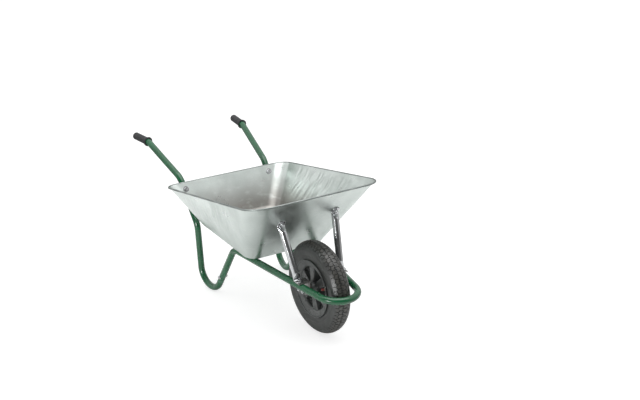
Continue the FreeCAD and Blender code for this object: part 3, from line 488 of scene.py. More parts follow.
def galvanised_steel(name="galvanised_steel", low=(0.64, 0.70, 0.67), high=(0.80, 0.86, 0.83),
                     shade_below=0.0):
    """Pressed zinc-coated sheet: soft clouds and faint spangle, brighter where it is rubbed.

    Its last argument, a height above the ground in metres, darkens the sheet below it: painted shade on
    the floor of the pan's hollow.
    """
    painted_floor_shade, fade, wander = (0.31, 0.295, 0.275), 0.10, 0.06
    speck_shade, rubbed_shade, edge_shade = (0.46, 0.50, 0.48), (0.84, 0.88, 0.86), (0.86, 0.90, 0.88)
    n = Nodes(name)
    clouds = n.spread(n.noise(7, 2, 0.5, (1, 1, 0.45), 0.6), 0.32, 0.68)
    spangle = n.add("ShaderNodeTexVoronoi", Scale=110.0)
    n.link(n.place, spangle.inputs["Vector"])
    grain = n.spread(spangle.outputs["Distance"], 0.0, 0.7)
    base = n.mix(clouds, low, high)
    # Painted shade: the inside skin is darkened towards the pan's floor, where the hollow lies in
    # shade.
    if shade_below:
        height = n.add("ShaderNodeSeparateXYZ")
        n.link(n.place, height.inputs[0])
        level = n.sum(height.outputs["Z"], n.share(n.noise(5, 3), wander))
        base = n.mix(n.spread(level, shade_below + fade, shade_below), base, painted_floor_shade)
    speckled = n.mix(n.share(grain, 0.10), base, speck_shade)
    scuffs = n.spread(n.noise(24, 3, 0.55, (0.5, 1, 2.2)), 0.54, 0.74)
    scuffed = n.mix(n.share(scuffs, 0.30), speckled, rubbed_shade)
    colour = n.mix(n.edges(0.535, 0.58), scuffed, edge_shade)
    n.bump([(n.noise(9, 2), 0.004, 0.16), (n.noise(420, 2), 0.0002, 0.12)])
    return n.finish(colour, n.patches((16, 3), 0.27, 0.40), Metallic=0.94, Specular_IOR_Level=0.5)


def mottled(name, grain, low, high, edge, rough, bumps, spots=None, edge_from=0.53, **uniform):
    """A surface of two shades in soft patches, with spots on them and paler edges.

    grain is a noise, rough a noise and its two values, bumps are (noise, distance, strength), and
    spots are (noise, from, to, share, colour).
    """
    n = Nodes(name)
    base = n.mix(n.patches(grain), low, high)
    if spots:
        spot_grain, start, end, share, shade = spots
        base = n.mix(n.share(n.spread(n.noise(*spot_grain), start, end), share), base, shade)
    colour = n.mix(n.edges(edge_from, 0.60), base, edge)
    n.bump([(n.noise(*settings), distance, strength) for settings, distance, strength in bumps])
    return n.finish(colour, n.patches(*rough), **uniform)


def green_paint():
    """Gloss green enamel on tube, with small worn spots and paler edges under a clear coat."""
    return mottled(
        "green_paint", (14, 3), (0.004, 0.085, 0.030), (0.008, 0.118, 0.045), (0.12, 0.30, 0.20),
        rough=((40, 4), 0.16, 0.32), bumps=[((60, 3), 0.0005, 0.18), ((700, 2), 0.00005, 0.2)],
        spots=((150, 3, 0.6), 0.72, 0.76, 0.5, (0.10, 0.28, 0.18)),
        Coat_Weight=0.55, Coat_Roughness=0.16)


def bright_zinc():
    """Bright zinc plate: near mirror, with soft upright streaks and duller spots."""
    return mottled(
        "bright_zinc", (30, 3, 0.5, (1, 1, 0.35)), (0.48, 0.49, 0.50), (0.68, 0.69, 0.70),
        (0.90, 0.90, 0.91), rough=((50, 4), 0.10, 0.24),
        bumps=[((80, 3), 0.0004, 0.15), ((900, 2), 0.00004, 0.2)],
        spots=((120, 4), 0.62, 0.72, 0.4, (0.42, 0.43, 0.45)), Metallic=1.0)


def dark_polymer(name, low, high, worn, rough, grain, bump, sheen=0.5):
    """Rubber or moulded plastic with dusty spots and rubbed, greyer edges; on the tyre the paler edge
    colour also stands in for painted glints on the tread blocks.
    """
    return mottled(
        name, (22, 4), low, high, worn, rough=((45, 4), *rough),
        bumps=[((grain, 3, 0.6), 0.0003, bump), ((30, 2), 0.001, 0.08)],
        spots=((70, 5, 0.7), 0.60, 0.75, 0.30, worn), edge_from=0.52, Specular_IOR_Level=sheen)


def plain_steel():
    """Plain mild steel, dark with oil."""
    return mottled(
        "plain_steel", (60, 3), (0.16, 0.15, 0.145), (0.25, 0.24, 0.23), (0.42, 0.41, 0.40),
        rough=((70, 3), 0.34, 0.5), bumps=[((500, 2, 0.5, (1, 6, 1)), 0.0001, 0.2)], Metallic=1.0)


def valve_brass():
    """Drawn brass, a little tarnished."""
    return mottled(
        "valve_brass", (120, 3), (0.55, 0.40, 0.18), (0.72, 0.56, 0.28), (0.85, 0.72, 0.42),
        rough=((90, 3), 0.25, 0.42), bumps=[((600, 2), 0.0001, 0.2)], Metallic=1.0)


MATERIALS = {
    "galvanised_steel": galvanised_steel(),
    # The inside skin carries painted shade, darker towards the pan's floor.
    "galvanised_inside": galvanised_steel("galvanised_inside", shade_below=0.33),
    # The rolled edge's darker shades are painted shade: a dark line for the bead's shaded underside.
    "galvanised_edge_painted_dark": galvanised_steel("galvanised_edge_painted_dark", (0.22, 0.25, 0.24), (0.32, 0.35, 0.34)),
    "green_paint": green_paint(),
    "bright_zinc": bright_zinc(),
    "grip_rubber": dark_polymer("grip_rubber", (0.022, 0.023, 0.025), (0.036, 0.037, 0.040),
                                (0.09, 0.09, 0.095), (0.52, 0.70), 500, 0.35),
    "black_plastic": dark_polymer("black_plastic", (0.040, 0.044, 0.042), (0.062, 0.067, 0.064),
                                  (0.20, 0.205, 0.20), (0.24, 0.38), 380, 0.22, 1.0),
    "red_plastic": dark_polymer("red_plastic", (0.24, 0.014, 0.014), (0.34, 0.024, 0.022),
                                (0.46, 0.12, 0.10), (0.34, 0.48), 300, 0.2),
    # The tyre's brownish worn colour is dust in the spots. On the raised block edges it is also a
    # painted glint.
    "tyre_rubber": dark_polymer("tyre_rubber", (0.013, 0.015, 0.014), (0.024, 0.027, 0.024),
                                (0.085, 0.076, 0.062), (0.34, 0.46), 420, 0.30, 1.0),
    "tube_rubber": dark_polymer("tube_rubber", (0.020, 0.020, 0.021), (0.030, 0.030, 0.031),
                                (0.07, 0.07, 0.07), (0.55, 0.70), 300, 0.3),
    "plain_steel": plain_steel(),
    "valve_brass": valve_brass(),
}


# ---------------------------------------------------------------- frame tubes and grips


def frame_tubes():
    """The bent front frame and the two bent handles, each a tube with a fine seam at its ends."""
    seam, radius = s("seam"), s("tube_radius")
    joint_height, meeting_x = s("joint_height"), s("axle_x") + s("rail_half_gap") / s("rail_splay")
    corners = [
        front_leg_point(joint_height, 1), rail_apex(1),
        point(meeting_x, 0, rail_height_at(meeting_x)),
        rail_apex(-1), front_leg_point(joint_height, -1),
    ]
    path = bent_path(corners, [s("apex_radius"), s("nose_radius"), s("apex_radius")])
    rings = round_section(path, radius, TUBE_SIDES, (seam, seam))
    piece("front_frame_skin", stacked(rings), "green_paint", "frame", ["front_frame_tube"])
    for name, side in SIDES.items():
        corners = handle_corners(side)
        radii = [s("wrist_radius"), s("elbow_radius"), s("knee_radius"), foot_radius(*corners[3:])]
        path = bent_path(corners[:5] + [front_leg_point(joint_height, side)], radii)
        rings = round_section(path, radius, TUBE_SIDES, (0, seam))
        piece(f"{name}_handle_skin", stacked(rings), "green_paint", "frame",
              [f"{name}_handle_tube"])


def grips():
    """Moulded sleeves with a domed end, lengthwise ribs and a thin hand guard."""
    rib_depth, rib_count, rib_start, rib_end, rib_fade = 0.55, 20, -90.0, -9.0, 5.0
    lip, dome, bore_gap = 1.2, 5.0, 0.1
    radius, cap, front = s("grip_radius"), s("grip_cap"), s("grip_cap") - s("grip_length")
    flange, guard = s("grip_flange_radius") - lip, front + s("grip_flange_length")

    def ribbed(turn, r, height):
        ends = smooth_step((height - rib_start) / rib_fade) * smooth_step((rib_end - height) / rib_fade)
        if r < radius - 0.01 or ends <= 0:
            return r
        wave = math.cos(rib_count * turn)
        return r - rib_depth * ends * smooth_step(0.5 - 1.4 * wave)

    profile = [(s("tube_radius") + bore_gap, front), (flange - lip, front), (flange, front + 0.8),
               (flange, front + 2.2), (flange - 1.4, front + 3.2), (radius + 1.2, front + 4.2),
               (radius, guard)]
    profile += [(radius, h) for h in np.linspace(guard + 5.5, cap - dome, 40)]
    profile += [(radius - dome + dome * math.cos(a), cap - dome + dome * math.sin(a))
                for a in np.radians([15, 30, 45, 60, 75, 90])]
    profile += [(6, cap - 0.05), (2, cap - 0.25)]
    for name, side in SIDES.items():
        end, wrist = handle_corners(side)[:2]
        rings = turned(end, unit(end - wrist), profile, 160, ribbed)
        piece(f"{name}_grip_skin", stacked(rings, False, True), "grip_rubber", "frame",
              [f"{name}_grip"])


# ---------------------------------------------------------------- pan


def outline(half_length, half_width, front_radius, rear_radius):
    """A rounded rectangle as evenly numbered points, from the front left corner round."""
    corner_steps, side_steps, end_steps = 16, 160, 64
    corners = [(1, 1, front_radius, 0, side_steps), (-1, 1, rear_radius, 90, end_steps),
               (-1, -1, rear_radius, 180, side_steps), (1, -1, front_radius, 270, end_steps)]
    arcs = []
    for x_sign, y_sign, radius, start, _ in corners:
        centre = np.array([x_sign * (half_length - radius), y_sign * (half_width - radius)])
        turns = np.radians(start + np.linspace(0, 90, corner_steps + 1))
        arcs.append(centre + radius * np.column_stack([np.cos(turns), np.sin(turns)]))
    points = []
    for index, arc in enumerate(arcs):
        points += list(arc)
        following = arcs[(index + 1) % 4][0]
        steps = corners[index][4]
        points += [arc[-1] + (following - arc[-1]) * k / steps for k in range(1, steps)]
    return np.array(points)


def level_points(level, extra=0.0):
    """The pan's outline at its base or rim, in the row frame."""
    rear, front = pan_levels()[level]
    half = np.linalg.norm(front - rear) / 2 + extra
    flat = outline(half, s(f"{level}_half_width") + extra, s(f"{level}_front_corner") + extra,
                   s(f"{level}_rear_corner") + extra)
    ahead = unit(front - rear)
    middle = (front + rear) / 2
    return middle + np.outer(flat[:, 0], ahead) + np.outer(flat[:, 1], Y)


def pressing_marks(p, rise, bolted):
    """How far the pressed sheet stands out of true at a point, in millimetres.

    rise is 0 at the floor and 1 at the rim; the sheet lies true round the bolted places, and only
    bulges inwards where the handles lie behind it.
    """
    swell, fold, fine_fold = 1.9, 1.7, 1.1 if p[1] > 0 else 2.0
    broad_wave, middle_wave, fine_wave = 8.3, 5.1, 3.7
    flat_radius, flat_run, rim_run = 22, 90, 0.06
    rear, front = pan_levels()["rim"]
    along = (p[0] - rear[0]) / (front[0] - rear[0])
    side = abs(p[1]) > 0.5 * s("rim_half_width") and 0.06 < along < 0.9
    lift = swell * cloud(p, 0.0065, 3.1) * smooth_step(rise * 2.2)
    if side:
        reach = smooth_step((along - 0.08) / 0.25) * smooth_step((0.86 - along) / 0.3)
        height = smooth_step((rise - 0.25) / 0.3) * smooth_step((0.97 - rise) / 0.12)
        slant = p[0] - 0.35 * (p[2] - 400) * (1 if p[1] > 0 else 1.4)
        waves = math.sin(slant / broad_wave + 2.5 * cloud(p, 0.012, 7.7))
        waves += 0.6 * math.sin(slant / middle_wave + 1.3)
        waves = fold * waves + fine_fold * math.sin(slant / fine_wave + 3 * cloud(p, 0.015, 4.4))
        lift += reach * height * waves * (0.55 + 0.45 * cloud(p, 0.02, 1.9))
    if along < 0.2:
        lift = min(lift, 0.0)
    nearest = min(np.linalg.norm(p - spot) for spot in bolted)
    calm = smooth_step((1.0 - rise) / rim_run) * smooth_step((nearest - flat_radius) / flat_run)
    return lift * calm


def pan_surface():
    """Rows of the pan's outside: floor, fillet and walls up to the rim."""
    base, rim = level_points("base"), level_points("rim")
    rear, front = pan_levels()["base"]
    centre = (rear + front) / 2
    floor_up = np.cross(unit(front - rear), Y)
    ahead_point, behind_point = np.roll(base, -1, axis=0), np.roll(base, 1, axis=0)
    floor_shares = (0.02, 0.2, 0.4, 0.6, 0.75, 0.88, 0.96)
    fillet_steps, wall_steps, fillet_rise, pull = 8, 52, 0.02, 0.88
    starts, arcs, tops = [], [], []
    for i, (low, high) in enumerate(zip(base, rim)):
        inward = unit(np.cross(floor_up, ahead_point[i] - behind_point[i]))
        wall_unit = unit(high - low)
        half = math.acos(float(np.clip(inward @ wall_unit, -1, 1))) / 2
        reach = s("base_fillet") / math.tan(half)
        start, end = low + inward * reach, low + wall_unit * reach
        bend = (1 - pull) * (start + end) / 2 + pull * low
        starts.append(start)
        arcs.append([(1 - t) ** 2 * start + 2 * t * (1 - t) * bend + t ** 2 * end
                     for t in np.linspace(0, 1, fillet_steps + 1)])
        tops.append([end + (high - end) * t for t in np.linspace(0, 1, wall_steps + 1)[1:]])
    starts, arcs, tops = np.array(starts), np.array(arcs), np.array(tops)
    rows = [centre + (starts - centre) * t for t in floor_shares]
    rows += [arcs[:, k] for k in range(fillet_steps + 1)]
    rows += [tops[:, k] for k in range(wall_steps)]
    rises = [0.0] * len(floor_shares)
    rises += [fillet_rise * k / fillet_steps for k in range(fillet_steps + 1)]
    rises += [fillet_rise + (1 - fillet_rise) * (k + 1) / wall_steps for k in range(wall_steps)]
    return np.array(rows), rises


def pan():
    """The tray as an outer and an inner skin, and the rolled edge round its rim."""
    rows, rises = pan_surface()
    along = np.roll(rows, -1, axis=1) - np.roll(rows, 1, axis=1)
    normals = np.cross(along, np.gradient(rows, axis=0))
    normals = normals / np.maximum(np.linalg.norm(normals, axis=2, keepdims=True), 1e-9)
    outward = normals if normals[-1, len(rows[0]) // 8] @ Y > 0 else -normals
    bolted = [place(side) for place in (rear_bolt_place, stay_top_place) for side in SIDES.values()]
    lift = np.array([[pressing_marks(p, rise, bolted) for p in row]
                     for row, rise in zip(rows, rises)])
    outside = rows + outward * lift[:, :, None]
    inside = outside - outward * s("pan_wall")
    # The inside skin's material adds painted shade towards the pan's floor.
    for name, skin_rows, material in (("pan_outside", outside, "galvanised_steel"),
                                      ("pan_inside", inside, "galvanised_inside")):
        piece(name, stacked(list(skin_rows), True, False), "galvanised_steel", "frame", ["pan"],
              material, math.radians(50))
    sides = 20
    bead_line = level_points("rim", s("bead_radius") - s("pan_wall"))
    closed = np.vstack([bead_line, bead_line[:1]])
    rings = np.array(round_section(closed, s("bead_radius"), sides))[:-1]
    rings[0] = (rings[1] + rings[-1]) / 2
    rings = beside_handles(rings)
    faces = grid_faces(len(rings), sides)
    last = (len(rings) - 1) * sides
    faces += [(last + j, last + (j + 1) % sides, (j + 1) % sides, j) for j in range(sides)]
    # The rolled edge gets darker sheet colour, painted shade along the rim.
    piece("pan_rolled_edge", ([tuple(v) for ring in rings for v in ring], faces),
          "galvanised_steel", "frame", ["pan"], "galvanised_edge_painted_dark")


def beside_handles(rings):
    """The rolled edge's rings, pushed clear of the handle tubes."""
    clearance = s("tube_radius") + s("contact_gap")
    for side in SIDES.values():
        corners = handle_corners(side)
        line = unit(corners[2] - corners[3])
        away = rings - corners[3]
        away = away - (away @ line)[..., None] * line
        distance = np.linalg.norm(away, axis=-1, keepdims=True)
        push = np.maximum(clearance - distance, 0)
        rings = rings + away / np.maximum(distance, 1e-9) * push
    return rings


# ---------------------------------------------------------------- stays

PRESS_LENGTH = 26.0


def tab_half_width():
    """Half the width of a stay's flat tab, which is also how far it reaches past its hole."""
    return 0.42 * s("stay_tab_width")


def stay_line(side):
    """A stay's centre line: foot tab, bend, round shaft, bend and top tab."""
    ahead, _ = rail_axes()
    low, high = front_wall_line()
    wall_up = unit(high - low)
    half = s("stay_tab_thickness") / 2 + s("contact_gap")
    reach, tip = 0.85 * s("stay_tab_reach"), tab_half_width()
    lift = s("tube_radius") + s("bracket_plate")
    foot_hole = rail_point(s("stay_foot_ahead"), lift + half, side)
    top_hole = stay_top_place(side) + front_wall_normal() * half
    return [foot_hole + ahead * tip, foot_hole - ahead * reach,
            top_hole - wall_up * reach, top_hole + wall_up * tip]


def stay_stations(lengths):
    """Where a stay's rings lie along it: close together on the tabs and where they are pressed."""
    tab_half, total = tab_half_width(), lengths[-1]
    tab_length = tab_half + s("stay_tab_reach")
    stations = list(tab_half * (1 - np.cos(np.linspace(0.12, math.pi / 2, 12))))
    stations += list(lengths[(lengths > tab_half + 1) & (lengths < tab_length + 8)])
    stations += list(np.linspace(tab_length + 4, tab_length + PRESS_LENGTH, 22))
    stations = sorted(set(np.round(stations, 3)))
    return stations + [total / 2] + [total - x for x in reversed(stations)]


def stays():
    """Round tubes squashed flat at both ends, each bent onto the rail and onto the pan."""
    tab_half, radius = tab_half_width(), s("stay_radius")
    tab_length, thin = tab_half + s("stay_tab_reach"), s("stay_tab_thickness") / 2
    bend_radius, sides, squareness, tip_floor = 5.0, 56, 0.45, 0.4
    turns = np.linspace(0, 2 * math.pi, sides, endpoint=False)
    c, d = np.cos(turns), np.sin(turns)
    for name, side in SIDES.items():
        path = bent_path(stay_line(side), [bend_radius, bend_radius], math.radians(6))
        lengths = np.concatenate([[0], np.cumsum(np.linalg.norm(np.diff(path, axis=0), axis=1))])
        total = lengths[-1]

        def place_at(length):
            return np.array([np.interp(length, lengths, path[:, k]) for k in range(3)])

        rings = []
        for at in stay_stations(lengths):
            end = min(at, total - at)
            along = unit(place_at(min(at + 1, total)) - place_at(max(at - 1, 0)))
            sideways = unit(Y - along * along[1])
            thickness = np.cross(sideways, along)
            round_share = smooth_step((end - tab_length) / PRESS_LENGTH)
            wide = tab_half + (radius - tab_half) * round_share
            if end < tab_half:
                wide = math.sqrt(max(tab_half ** 2 - (tab_half - end) ** 2, tip_floor))
            deep = thin + (radius - thin) * round_share
            flat_c = np.sign(c) * np.abs(c) ** (squareness + (1 - squareness) * round_share)
            rings.append(place_at(at) + np.outer(d * wide, sideways)
                         + np.outer(flat_c * deep, thickness))
        piece(f"{name}_stay_skin", stacked(rings), "bright_zinc", "frame", [f"{name}_stay"],
              sharp=math.radians(45))


# ---------------------------------------------------------------- fasteners


def hex_block(face, direction, flats, height, both=False):
    """A chamfered hexagon block that grows from face along direction."""
    chamfer, slope, half = 0.09 * flats, 1.7, flats / 2
    dish_outer, dish_inner, dish_depth = 0.86 * half, 0.80 * half, 0.25
    heights = [0.0, height - chamfer, height - chamfer * 0.6, height - chamfer * 0.3, height]
    if both:
        heights = [0.0, chamfer * 0.3, chamfer * 0.6, chamfer] + heights[1:]

    def shape(turn, radius, h):
        flat = half / math.cos((turn % (math.pi / 3)) - math.pi / 6)
        room = min(height - h, h if both else height)
        return min(flat, half + slope * room) * radius

    rings = turned(face, direction, [(1.0, h) for h in heights], 48, shape)
    dish = [(dish_outer, height), (dish_inner, height - dish_depth)]
    return stacked(rings + turned(face, direction, dish, 48))


def threaded_end(face, direction, radius, length):
    """The end of a bolt: fine ridges and a small chamfer."""
    half_pitch, depth, chamfer = radius * 0.155, radius * 0.07, 0.5
    count = max(int((length - radius * 0.18) / half_pitch), 2)
    profile = [(radius - (depth if k % 2 else 0), k * half_pitch) for k in range(count)]
    profile += [(radius - depth, length - chamfer), (radius * 0.75, length)]
    return stacked(turned(face, direction, profile, 32))


def shank(face, direction, radius, length, sides):
    return stacked(turned(face, direction, [(radius, 0), (radius, length)], sides))


def washer(face, direction, outer, inner, thickness, edge=0.35, sides=72):
    profile = [(inner, 0), (outer, 0), (outer, thickness), (inner, thickness)]
    return closed_turned(face, direction, profile, edge, sides)


def bolt_and_nut(kind, places):
    """Bolts, with their nuts: places are (under the head, direction, nut face)."""
    radius, flats, nut = s("bolt_radius"), s("bolt_flats"), s("nut_height")
    bolts, nuts = [], []
    for head, direction, nut_face in places:
        direction = unit(direction)
        bolts += [hex_block(head, -direction, flats, s("bolt_head")),
                  shank(head, direction, radius, np.linalg.norm(nut_face - head), 32),
                  threaded_end(nut_face, direction, radius, nut + s("bolt_tail"))]
        nuts.append(hex_block(nut_face, direction, flats, nut, True))
    for name, parts in ((f"{kind}_bolts", bolts), (f"{kind}_nuts", nuts)):
        piece(f"{name}_skin", joined(parts), "bright_zinc", "frame", [name])


def fasteners():
    """The bolts through the pan, with washers, and those through the stay feet and the legs."""
    gap, disc, tube, tab = (s("contact_gap"), s("washer_thickness"), s("tube_radius"),
                            s("stay_tab_thickness"))
    through_pan = (
        ("rear_pan", rear_bolt_place, rear_wall_normal(), s("rear_washer_lift"), 2 * tube),
        ("stay_top", stay_top_place, front_wall_normal(), 0.0, tab),
    )
    for kind, place, outward, lift, clamped in through_pan:
        places, discs = [], []
        for side in SIDES.values():
            spot = place(side)
            head = spot - outward * (s("pan_wall") + lift + disc)
            places.append((head, outward, spot + outward * (clamped + 2 * gap)))
            discs.append(washer(head, outward, s("washer_radius"), s("bolt_radius"), disc))
        bolt_and_nut(kind, places)
        piece(f"{kind}_washers_skin", joined(discs), "bright_zinc", "frame", [f"{kind}_washers"])
    down, ahead = -rail_axes()[1], s("stay_foot_ahead")
    tab_top = tube + s("bracket_plate") + tab + 2 * gap
    bolt_and_nut("stay_foot", [(rail_point(ahead, tab_top, side), down, rail_point(ahead, -tube, side))
                               for side in SIDES.values()])
    places = []
    for side in SIDES.values():
        centre, inward = front_leg_point(s("joint_bolt_height"), side), leg_joint_direction(side)
        places.append((centre - inward * tube, inward, centre + inward * tube))
    bolt_and_nut("leg_joint", places)


def axle_parts():
    """The fixed axle, its spacers, washers and nuts, and the folded brackets."""
    radius, disc, inner = s("axle_radius"), s("axle_washer_thickness"), s("bracket_inner")
    hub_side = s("hub_half_length") + s("bush_flange") + s("side_gap")
    outside = inner + s("bracket_plate")
    nut_face = outside + disc
    rods, spacers, discs, nuts = [], [], [], []
    for side in SIDES.values():
        out = Y * side
        rods += [shank(on_axle(0, 1), out, radius, nut_face, 48),
                 threaded_end(on_axle(nut_face, side), out, radius, s("axle_half_length") - nut_face)]
        spacers.append(washer(on_axle(hub_side, side), out, s("spacer_radius"), radius,
                              inner - hub_side, 0.5, 96))
        discs.append(washer(on_axle(outside, side), out, s("axle_washer_radius"), radius, disc))
        nuts.append(hex_block(on_axle(nut_face, side), out, s("axle_nut_flats"),
                              s("axle_nut_height"), True))
    for name, parts, metal in (("axle", rods, None), ("axle_spacers", spacers, "plain_steel"),
                               ("axle_washers", discs, None), ("axle_nuts", nuts, None)):
        piece(f"{name}_skin", joined(parts), "bright_zinc", "frame", [name], metal)
    for name in ("left_axle_bracket", "right_axle_bracket"):
        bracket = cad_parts[name]
        assign(bracket, MATERIALS["plain_steel"])
        rounded = bracket.modifiers.new("pressed_edges", "BEVEL")
        rounded.width = 0.0006
        rounded.segments = 2
        rounded.limit_method = "ANGLE"
        rounded.harden_normals = True


def assign(item, material):
    if not item.material_slots:
        item.data.materials.append(material)
    for slot in item.material_slots:
        slot.material = material


# ---------------------------------------------------------------- wheel


def wheel_ring(profile, edge, sides=240):
    """A closed ring about the axle from (radius, distance along Y) pairs."""
    return closed_turned(on_axle(0, 1), Y, profile, edge, sides)


def radial_axes(turn):
    """Outward and sideways directions of the wheel at a turn in degrees up from straight ahead."""
    angle = math.radians(turn)
    return point(math.cos(angle), 0, math.sin(angle)), point(-math.sin(angle), 0, math.cos(angle))


def spoke(turn):
    """One petal: narrow at the hub, broad at its shoulders, with rounded edges."""
    radii = np.concatenate([np.linspace(21, 30, 5), np.linspace(33, 78, 16),
                            np.linspace(79.5, 88, 8)])
    half_widths = np.interp(radii, [21, 25, 31, 47, 60, 73, 79, 82, 85, 88],
                            [8.5, 8.2, 9.4, 13.0, 15.4, 17.2, 17.9, 19.4, 22.5, 27.0])
    half_depths = np.interp(radii, [21, 28, 36, 84, 88], [32.0, 31.0, 27.6, 24.4, 26.0])
    largest_corner, corner_share = 3.0, 0.4
    out, side = radial_axes(turn)
    rings = []
    for radius, wide, deep in zip(radii, half_widths, half_depths):
        corner = min(largest_corner, wide * corner_share)
        ring = []
        for x_sign, y_sign, start in ((1, 1, 0), (-1, 1, 90), (-1, -1, 180), (1, -1, 270)):
            for a in np.radians(start + np.linspace(0, 90, 7)):
                ring.append(on_axle(0, 1) + out * radius
                            + side * (x_sign * (wide - corner) + corner * math.cos(a))
                            + Y * (y_sign * (deep - corner) + corner * math.sin(a)))
        rings.append(ring)
    return stacked(rings)


def fin(turn, inner, outer, half_depth):
    """A thin moulded rib that runs radially inside an opening."""
    squareness = 0.4
    out, side = radial_axes(turn)
    rings = []
    for radius, wide in ((inner, 0.7), (inner + 1.0, 1.1), (outer, 1.5)):
        ring = []
        for a in np.radians(np.arange(0, 360, 30)):
            ring.append(on_axle(0, 1) + out * radius + side * wide * math.cos(a)
                        + Y * half_depth * np.sign(math.sin(a)) * abs(math.sin(a)) ** squareness)
        rings.append(ring)
    return stacked(rings)


def mirrored(half):
    """A profile about the middle plane from its half at +Y."""
    return half + [(r, -y) for r, y in reversed(half)]


def wheel_body():
    """Moulded rim with its dished face, six petals, ribbed openings and hub, and the bushes."""
    lip, lip_y, web = s("rim_lip_radius"), s("rim_lip_half_width"), s("web_half_width")
    seat, outer = s("bead_seat_radius"), s("opening_outer_radius")
    hub_y, hub_r, edge, petals = s("hub_half_length"), s("hub_radius"), 0.8, 6
    fin_turns, fin_reach, fin_root, fin_half_depth = (20.5, 30, 39.5), 11.5, 3.0, 13.0
    rim = mirrored([
        (outer, web - 1), (outer + 1.5, web + 2), (outer + 4, web + 4.5), (lip - 9, lip_y - 4.2),
        (lip - 7.5, lip_y - 3.2), (lip - 5.2, lip_y - 3.0), (lip - 3.8, lip_y),
        (lip - 0.6, lip_y), (lip, lip_y - 1), (lip, lip_y - 3), (seat + 2, lip_y - 4),
        (seat, lip_y - 6), (seat, web - 3), (seat - 9, web - 9)])
    hub = mirrored([(12.5, hub_y), (hub_r, hub_y), (hub_r + 0.6, 38), (hub_r + 5, 31),
                    (hub_r + 6.5, 26)])
    middle_rib = [(outer - 0.5, -2), (outer - 0.5, 2), (outer + 6, 2), (outer + 6, -2)]
    parts = [wheel_ring(rim, edge), wheel_ring(hub, edge, 120)]
    for turn in s("spoke_turn") + 360 / petals * np.arange(petals):
        parts.append(spoke(turn))
        parts += [fin(turn + offset, outer - fin_reach, outer + fin_root, fin_half_depth)
                  for offset in fin_turns]
    parts.append(wheel_ring(middle_rib, 0.4))
    piece("wheel_centre_skin", joined(parts), "black_plastic", "wheel",
          ["wheel_centre", "wheel_rim"])
    bore, socket, depth = s("axle_radius") + 0.1, 12.4, -6
    flange, thick = s("bush_flange_radius"), s("bush_flange")
    bush = [(bore, depth), (bore, thick), (flange - 4, thick), (flange, thick - 1.4), (flange, 0),
            (socket, 0), (socket, depth)]
    for name, side in SIDES.items():
        piece(f"{name}_bush_skin", closed_turned(on_axle(hub_y, side), Y * side, bush, 0.5),
              "red_plastic", "wheel", [f"{name}_wheel_bush"])


LAST_ROW = 4


def tyre_lines():
    """Profile lines across the tyre: (turn round the carcass, row, groove depth, zigzag share)."""
    side_turns = np.linspace(-42, 20, 34)
    shoulder = [(24.0, None, 0.0, 0.0), (27.0, "edge", 0.0, 0.0), (33.0, 0, 0.0, 0.0),
                (42.0, 0, 0.0, 0.3)]
    grooves, middle_groove = (52.0, 75.0, 105.0, 128.0), 1
    half_groove, half_floor, depth = 2.0, 0.8, 3.0
    lines = [(turn, None, 0.0, 0.0) for turn in side_turns] + shoulder
    for index, centre in enumerate(grooves):
        lines += [(centre - half_groove, index, 0.0, 1.0), (centre - half_floor, None, depth, 1.0),
                  (centre + half_floor, None, depth, 1.0), (centre + half_groove, index + 1, 0.0, 1.0)]
        if index + 1 < len(grooves):
            lines.append(((centre + grooves[index + 1]) / 2, index + 1, 0.0,
                          0.5 if index == middle_groove else 1.0))
    lines += [(180 - turn, LAST_ROW if row == 0 else row, 0.0, share)
              for turn, row, _, share in reversed(shoulder)]
    return lines + [(180 - turn, None, 0.0, 0.0) for turn in reversed(side_turns)]


def tread_columns():
    """Columns round the tyre: (angle, which rows are cut there, place in the zigzag)."""
    pitches = 64
    cuts = [(0.00, False), (0.05, True), (0.11, True), (0.16, False), (0.33, False)]
    return [((index + offset + at) * 2 * math.pi / pitches, parity if cut else None,
             (offset + at) % 1.0)
            for index in range(pitches)
            for offset, parity in ((0.0, "even"), (0.5, "odd"))
            for at, cut in cuts]


def cut_in_row(row, parity):
    """How deep the cross cut of a column goes in a row of blocks."""
    full, at_shoulder = 2.6, 0.8
    if parity is None or row in (None, "edge") or (row % 2 == 0) != (parity == "even"):
        return 0.0
    return full * (at_shoulder if row in (0, LAST_ROW) else 1.0)


